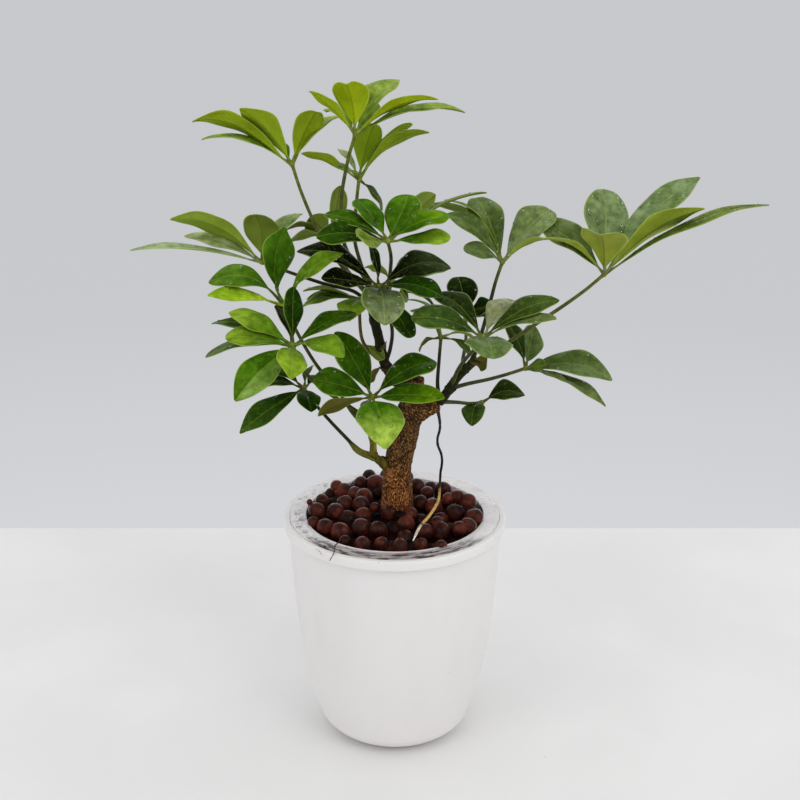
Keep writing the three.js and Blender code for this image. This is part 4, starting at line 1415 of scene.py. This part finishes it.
def add_leaflet(piece, leaflet, right, left=None):
    """Adds a blade with the tones of its right-hand and left-hand halves, seen from its stalk. A paler half
    is painted light, where the folded blade catches more of it.
    """
    upper, lower, facts = leaflet.surface()
    rows, columns = BLADE_ROWS, 2 * BLADE_COLUMNS
    wide = columns + 1
    a, b, c = upper[0], upper[wide], upper[1]
    faces = sheet_faces(rows, columns)
    if np.cross(b - a, c - a).dot(leaflet.normal) < 0:
        faces = [face[::-1] for face in faces]
    fade = smoothstep(np.repeat(np.arange(rows + 1) / rows, wide), 0.1, 0.85)[:, None]
    near, far, under = right
    top_tints = near * (1 - fade) + far * fade
    if left:
        on_right = smoothstep(facts[:, 1], -0.5, 0.5)[:, None]
        top_tints = top_tints * on_right + (left[0] * (1 - fade) + left[1] * fade) * (1 - on_right)
    tints = np.concatenate([top_tints, np.tile(under, (len(upper), 1))])
    grid = rows * columns
    piece.add(np.concatenate([upper, lower]), faces, tint=tints, blade=np.concatenate([facts, facts]))
    piece.materials[-len(faces):] = [0] * grid + [1] * grid + [0] * (len(faces) - 2 * grid)


def tones(name, change=1.0):
    """The three colours of a tone, times a number or one for each channel"""
    return [np.array(rgb(*colour)) * change for colour in TONES[name]]


def varied(tone, random):
    """A tone, or a pair of them, a little lighter or darker, and a little yellower or bluer"""
    light = 1 + 0.14 * (random.rand() - 0.5)
    warm = 1 + 0.12 * (random.rand() - 0.5)
    names = tone if isinstance(tone, tuple) else (tone,)
    return [tones(name, (light * warm, light, light / warm, 1)) for name in names]


def add_stalk(piece, name, points, colour):
    """A stalk that swells at both ends and turns to the hub's colour near it"""
    path, spots = smooth_curve(points, 10)
    run = np.concatenate([[0], np.cumsum(np.linalg.norm(np.diff(path, axis=0), axis=1))])
    joint = (1 - smoothstep(spots, *JOINT_END)) * (name == JOINTED_LEAF)
    radii = np.interp(spots, [0, len(points) - 1], STALK_RADII) + JOINT_SWELL * joint
    radii = radii * (1 + 0.35 * np.exp(-run / 4)) * (1 + 0.3 * np.exp(-(run[-1] - run) / 3))
    green = np.array(rgb(*colour))
    green = green + (np.array(JOINT_TONE) - green) * joint[:, None]
    fade = 0.5 * smoothstep(run, 0.7 * run[-1], run[-1])[:, None]
    ring = green * (1 - fade) + np.array(HUB_TONE) * fade
    piece.add(*tube(path, radii, STALK_SIDES), material=2, tint=np.repeat(ring, STALK_SIDES, axis=0))


def leaf(number, name, stalk, colour, rows, materials):
    """Builds a leaf and returns its leaflets. Its hub is the stalk's last point."""
    piece = Piece()
    hub = np.array(stalk[-1], float)
    add_stalk(piece, name, stalk, colour)
    ball, faces = unit_ball(2)
    piece.add(lumpy(ball, 1.6, number, 0.3) * HUB_RADIUS + hub, faces, material=2, tint=HUB_TONE)
    random = np.random.RandomState(300 + number)
    leaflets = []
    for k, (row, tone, *tip) in enumerate(rows):
        blade_start = LONG_STALKLETS.get(name, BLADE_START)
        leaflet = Leaflet(hub, row, tip[0] if tip else 0.0, 1000 * number + k, blade_start)
        leaflets.append(leaflet)
        halves = varied(tone, random)
        add_leaflet(piece, leaflet, *halves)
        end = leaflet.start + STALKLET_LAP
        s = np.linspace(0, end, 7)
        radii = np.interp(s, [0, leaflet.start, end], STALKLET_RADII)
        tint = np.array(HUB_TONE) * 0.35 + halves[0][0] * 0.65
        piece.add(*tube(leaflet.midrib(s) - leaflet.normal * 0.15, radii, 8), material=2, tint=tint)
    for k, (owner, start, row, tone, tip) in enumerate(STIPULES):
        if owner == name:
            add_leaflet(piece, Leaflet(np.array(start, float), row, tip, 9000 + k), tones(tone))
    piece.build(f"{name}_foliage", materials, "young_leaf" if number < YOUNG_LEAVES else "leaf", name)
    return leaflets


# Water


def add_drop(piece, place, normal, radius, flatness=0.55):
    """A dome of water with a round foot sunk a little into what it lies on"""
    normal = unit(normal)
    side = unit(np.cross(normal, (0.31, 0.77, 0.55)))
    across = np.cross(normal, side)
    sides, rings = 12, 5
    points = [place - normal * 0.12 * radius]
    for k in range(rings):
        angle = (k / rings) * math.pi / 2
        reach = radius * math.cos(angle) ** 0.8
        height = radius * flatness * math.sin(angle)
        for j in range(sides):
            points.append(place + normal * height + around(side, across, 2 * math.pi * j / sides) * reach)
    points.append(place + normal * radius * flatness)
    faces = []
    top = 1 + (rings - 1) * sides
    for j in range(sides):
        k = (j + 1) % sides
        faces.append((0, 1 + k, 1 + j))
        faces += [(a + j, a + k, a + sides + k, a + sides + j) for a in range(1, top, sides)]
        faces.append((top + j, top + k, len(points) - 1))
    piece.add(points, faces)


def drops_on_leaves(grown):
    """Small drops strewn over the leaflets of each leaf, by its wetness"""
    piece = Piece()
    random = np.random.RandomState(77)
    for name, leaflets in grown.items():
        for leaflet in leaflets:
            area = leaflet.width * leaflet.length / 1000
            for _ in range(round(LEAVES[name][0] * (0.6 + area) * (0.6 + 0.8 * random.rand()))):
                u, c = 0.15 + 0.8 * random.rand(), 1.7 * (random.rand() - 0.5)
                radius = 0.3 + 0.35 * random.rand() + 0.4 * random.rand() ** 6
                ahead = np.array([[u, u + 0.01, u], [c, c, c + 0.01]])
                place, further, wider = leaflet.blade(*ahead)
                normal = np.cross(further - place, wider - place)
                normal = normal if normal.dot(leaflet.normal) > 0 else -normal
                add_drop(piece, place + unit(normal) * 0.22, normal, radius)
    return piece


# The largest drops on the leaves: across and down in the photograph's frame, and radius in mm
SEEN_DROPS = [
    (477, 208, 1.6), (490, 204, 1.5), (501, 217, 1.4), (501, 228, 1.9), (489, 215, 0.7), (493, 221, 0.8),
    (494, 227, 0.8), (500, 239, 0.8), (481, 231, 0.7), (474, 234, 0.7), (470, 228, 0.9), (513, 237, 1.2),
    (514, 223, 1.1), (518, 220, 0.8), (535, 210, 1.2), (551, 210, 1.3), (549, 226, 1.0), (591, 214, 1.5),
    (599, 223, 1.3), (621, 202, 1.3), (616, 216, 1.4), (597, 198, 1.0), (609, 221, 1.0), (624, 212, 0.9),
    (600, 231, 0.8), (594, 195, 0.7), (640, 207, 1.2), (645, 203, 0.9), (652, 202, 1.2), (661, 198, 0.7),
    (577, 357, 1.1), (571, 364, 0.9), (578, 367, 0.8), (589, 368, 0.7), (381, 297, 1.0), (375, 304, 1.2),
    (372, 298, 0.8), (386, 307, 1.2), (397, 311, 1.7), (392, 292, 0.8), (403, 296, 0.8), (367, 300, 0.8),
    (389, 317, 0.8), (406, 329, 1.1), (274, 265, 1.3), (268, 252, 0.7), (384, 208, 1.1), (374, 220, 1.2),
    (361, 204, 0.8), (428, 262, 0.9), (420, 268, 0.8), (391, 426, 1.4), (385, 423, 1.0), (379, 417, 0.9),
    (392, 415, 0.9), (374, 427, 0.8), (366, 430, 1.3), (410, 374, 0.8),
]


def seen_drops(piece):
    """Puts each large drop where the line of sight through its place meets a leaf"""
    bpy.context.view_layer.update()
    depsgraph = bpy.context.evaluated_depsgraph_get()
    for across, down, radius in SEEN_DROPS:
        sight = Vector(unit(line_of_sight(across, down)))
        found, place, normal, _, thing, _ = scene.ray_cast(depsgraph, Vector(CAMERA_PLACE * MM), sight)
        if found and thing.name.endswith("_foliage"):
            outward = -normal if normal.dot(sight) > 0 else normal
            add_drop(piece, np.array(place) / MM, np.array(outward), radius, 0.5)


# Puddles on the flange: across and down in the photograph's frame, and radius in mm
PUDDLES = [
    (297, 514, 2.0), (302, 519.5, 2.7), (299, 527, 1.9), (305, 532, 2.2), (311, 538, 1.6), (462, 544, 2.2),
]
# Splashes on the flange: how many, the middle and width of their sweep in degrees, their least reach and
# its range
SPLASHES = 70
SPLASH_MIDDLE = 205
SPLASH_SWEEP = 150
SPLASH_REACH = 58.5
SPLASH_RANGE = 7


def drops_on_liner(piece):
    """Puddles and splashes on the flange, most of them at the left"""
    random = np.random.RandomState(5)
    upright = (0, 0, 1)
    for across, down, radius in PUDDLES:
        add_drop(piece, on_level(across, down, FLANGE_TOP), upright, radius, 0.3)
    for _ in range(SPLASHES):
        angle = math.radians(SPLASH_MIDDLE + SPLASH_SWEEP * (random.rand() - 0.5) * (0.4 + random.rand()))
        reach = SPLASH_REACH + SPLASH_RANGE * random.rand()
        radius = 0.5 + 0.9 * random.rand() ** 2
        place = np.array([reach * math.cos(angle), reach * math.sin(angle), FLANGE_TOP])
        add_drop(piece, place, upright, radius)


# Surroundings, in metres

TABLE_SIZE = (5.0, 2.6, 0.03)
TABLE_EDGE = 0.294
# Each lamp: its place, its size and its power
LAMPS = {
    "overhead": ((0.1, 0.1, 2.2), 2.4, 9),
    "front_right": ((1.3, -1.5, 1.8), 1.2, 9.5),
    "front_left": ((-1.3, -1.5, 1.8), 1.2, 5),
}
LAMP_TARGET = Vector((0, 0, 0.2))
# The room's tones from straight down, 0, to straight up, 1
ROOM_TONES = {0.295: (212, 213, 217), 0.36: (200, 201, 204), 0.5: (199, 200, 203), 0.58: (222, 223, 226)}


def table():
    mesh = bpy.data.meshes.new("table")
    bm = bmesh.new()
    bmesh.ops.create_cube(bm, size=1)
    bmesh.ops.scale(bm, vec=TABLE_SIZE, verts=bm.verts)
    bmesh.ops.translate(bm, vec=(0, TABLE_EDGE - TABLE_SIZE[1] / 2, -TABLE_SIZE[2] / 2), verts=bm.verts)
    bm.to_mesh(mesh)
    bm.free()
    m = Material("pale_table")
    colour = m.mix(m.patches(7, 4, 0.35, 0.7), rgb(231, 230, 228), rgb(236, 235, 233))
    colour = m.over(colour, rgb(150, 146, 140), m.specks(45, 0.02, 0.035, 12, 0.52), 0.35)
    mesh.materials.append(m.surface(Base_Color=colour, Roughness=m.patches(30, 3, 0.3, 0.7, 0.5, 0.65)))
    floor = bpy.data.objects.new("table", mesh)
    scene.collection.objects.link(floor)


def light(name, place, size, power):
    data = bpy.data.lights.new(name, "AREA")
    data.size = size
    data.energy = power
    lamp = bpy.data.objects.new(name, data)
    lamp.location = place
    lamp.rotation_euler = (LAMP_TARGET - Vector(place)).to_track_quat("-Z", "Y").to_euler()
    scene.collection.objects.link(lamp)


def pale_room():
    """A pale room that is a little brighter just above the table's far edge and overhead"""
    world = bpy.data.worlds.new("pale_room")
    world.use_nodes = True
    tree = world.node_tree
    parts = tree.nodes.new("ShaderNodeSeparateXYZ")
    tree.links.new(tree.nodes.new("ShaderNodeTexCoord").outputs["Generated"], parts.inputs[0])
    ramp = tree.nodes.new("ShaderNodeValToRGB")
    rise = tree.nodes.new("ShaderNodeMapRange")
    tree.links.new(parts.outputs["Z"], rise.inputs[0])
    rise.inputs[1].default_value = -1
    stops = ramp.color_ramp.elements
    for number, (place, tone) in enumerate(ROOM_TONES.items()):
        if number < len(stops):
            stops[number].position = place
        else:
            stops.new(place)
        stops[number].color = rgb(*tone)
    tree.links.new(rise.outputs[0], ramp.inputs[0])
    tree.links.new(ramp.outputs["Color"], tree.nodes["Background"].inputs["Color"])
    scene.world = world
    scene.view_settings.view_transform = "Standard"


def surroundings():
    pale_room()
    for name, looks in LAMPS.items():
        light(name, *looks)
    data = bpy.data.cameras.new("camera")
    data.lens = LENS
    data.sensor_width = SENSOR
    camera = bpy.data.objects.new("camera", data)
    camera.location = CAMERA_PLACE * MM
    camera.rotation_euler = (math.pi / 2 - CAMERA_PITCH, 0, 0)
    scene.collection.objects.link(camera)
    scene.camera = camera


def main():
    surroundings()
    table()
    pot()
    liner()
    clay_balls()
    trunk()
    for name, looks in SHOOT_LOOKS.items():
        shoot(name, looks)
    fine_roots(aerial_root())
    materials = [leaf_top_material(), leaf_under_material(), stalk_material()]
    grown = {}
    for number, (name, (_, colour, stalk, rows)) in enumerate(LEAVES.items()):
        grown[name] = leaf(number, name, stalk, colour, rows, materials)
    water = drops_on_leaves(grown)
    seen_drops(water)
    drops_on_liner(water)
    water.build("water_drops", [water_material()], "liner")


main()
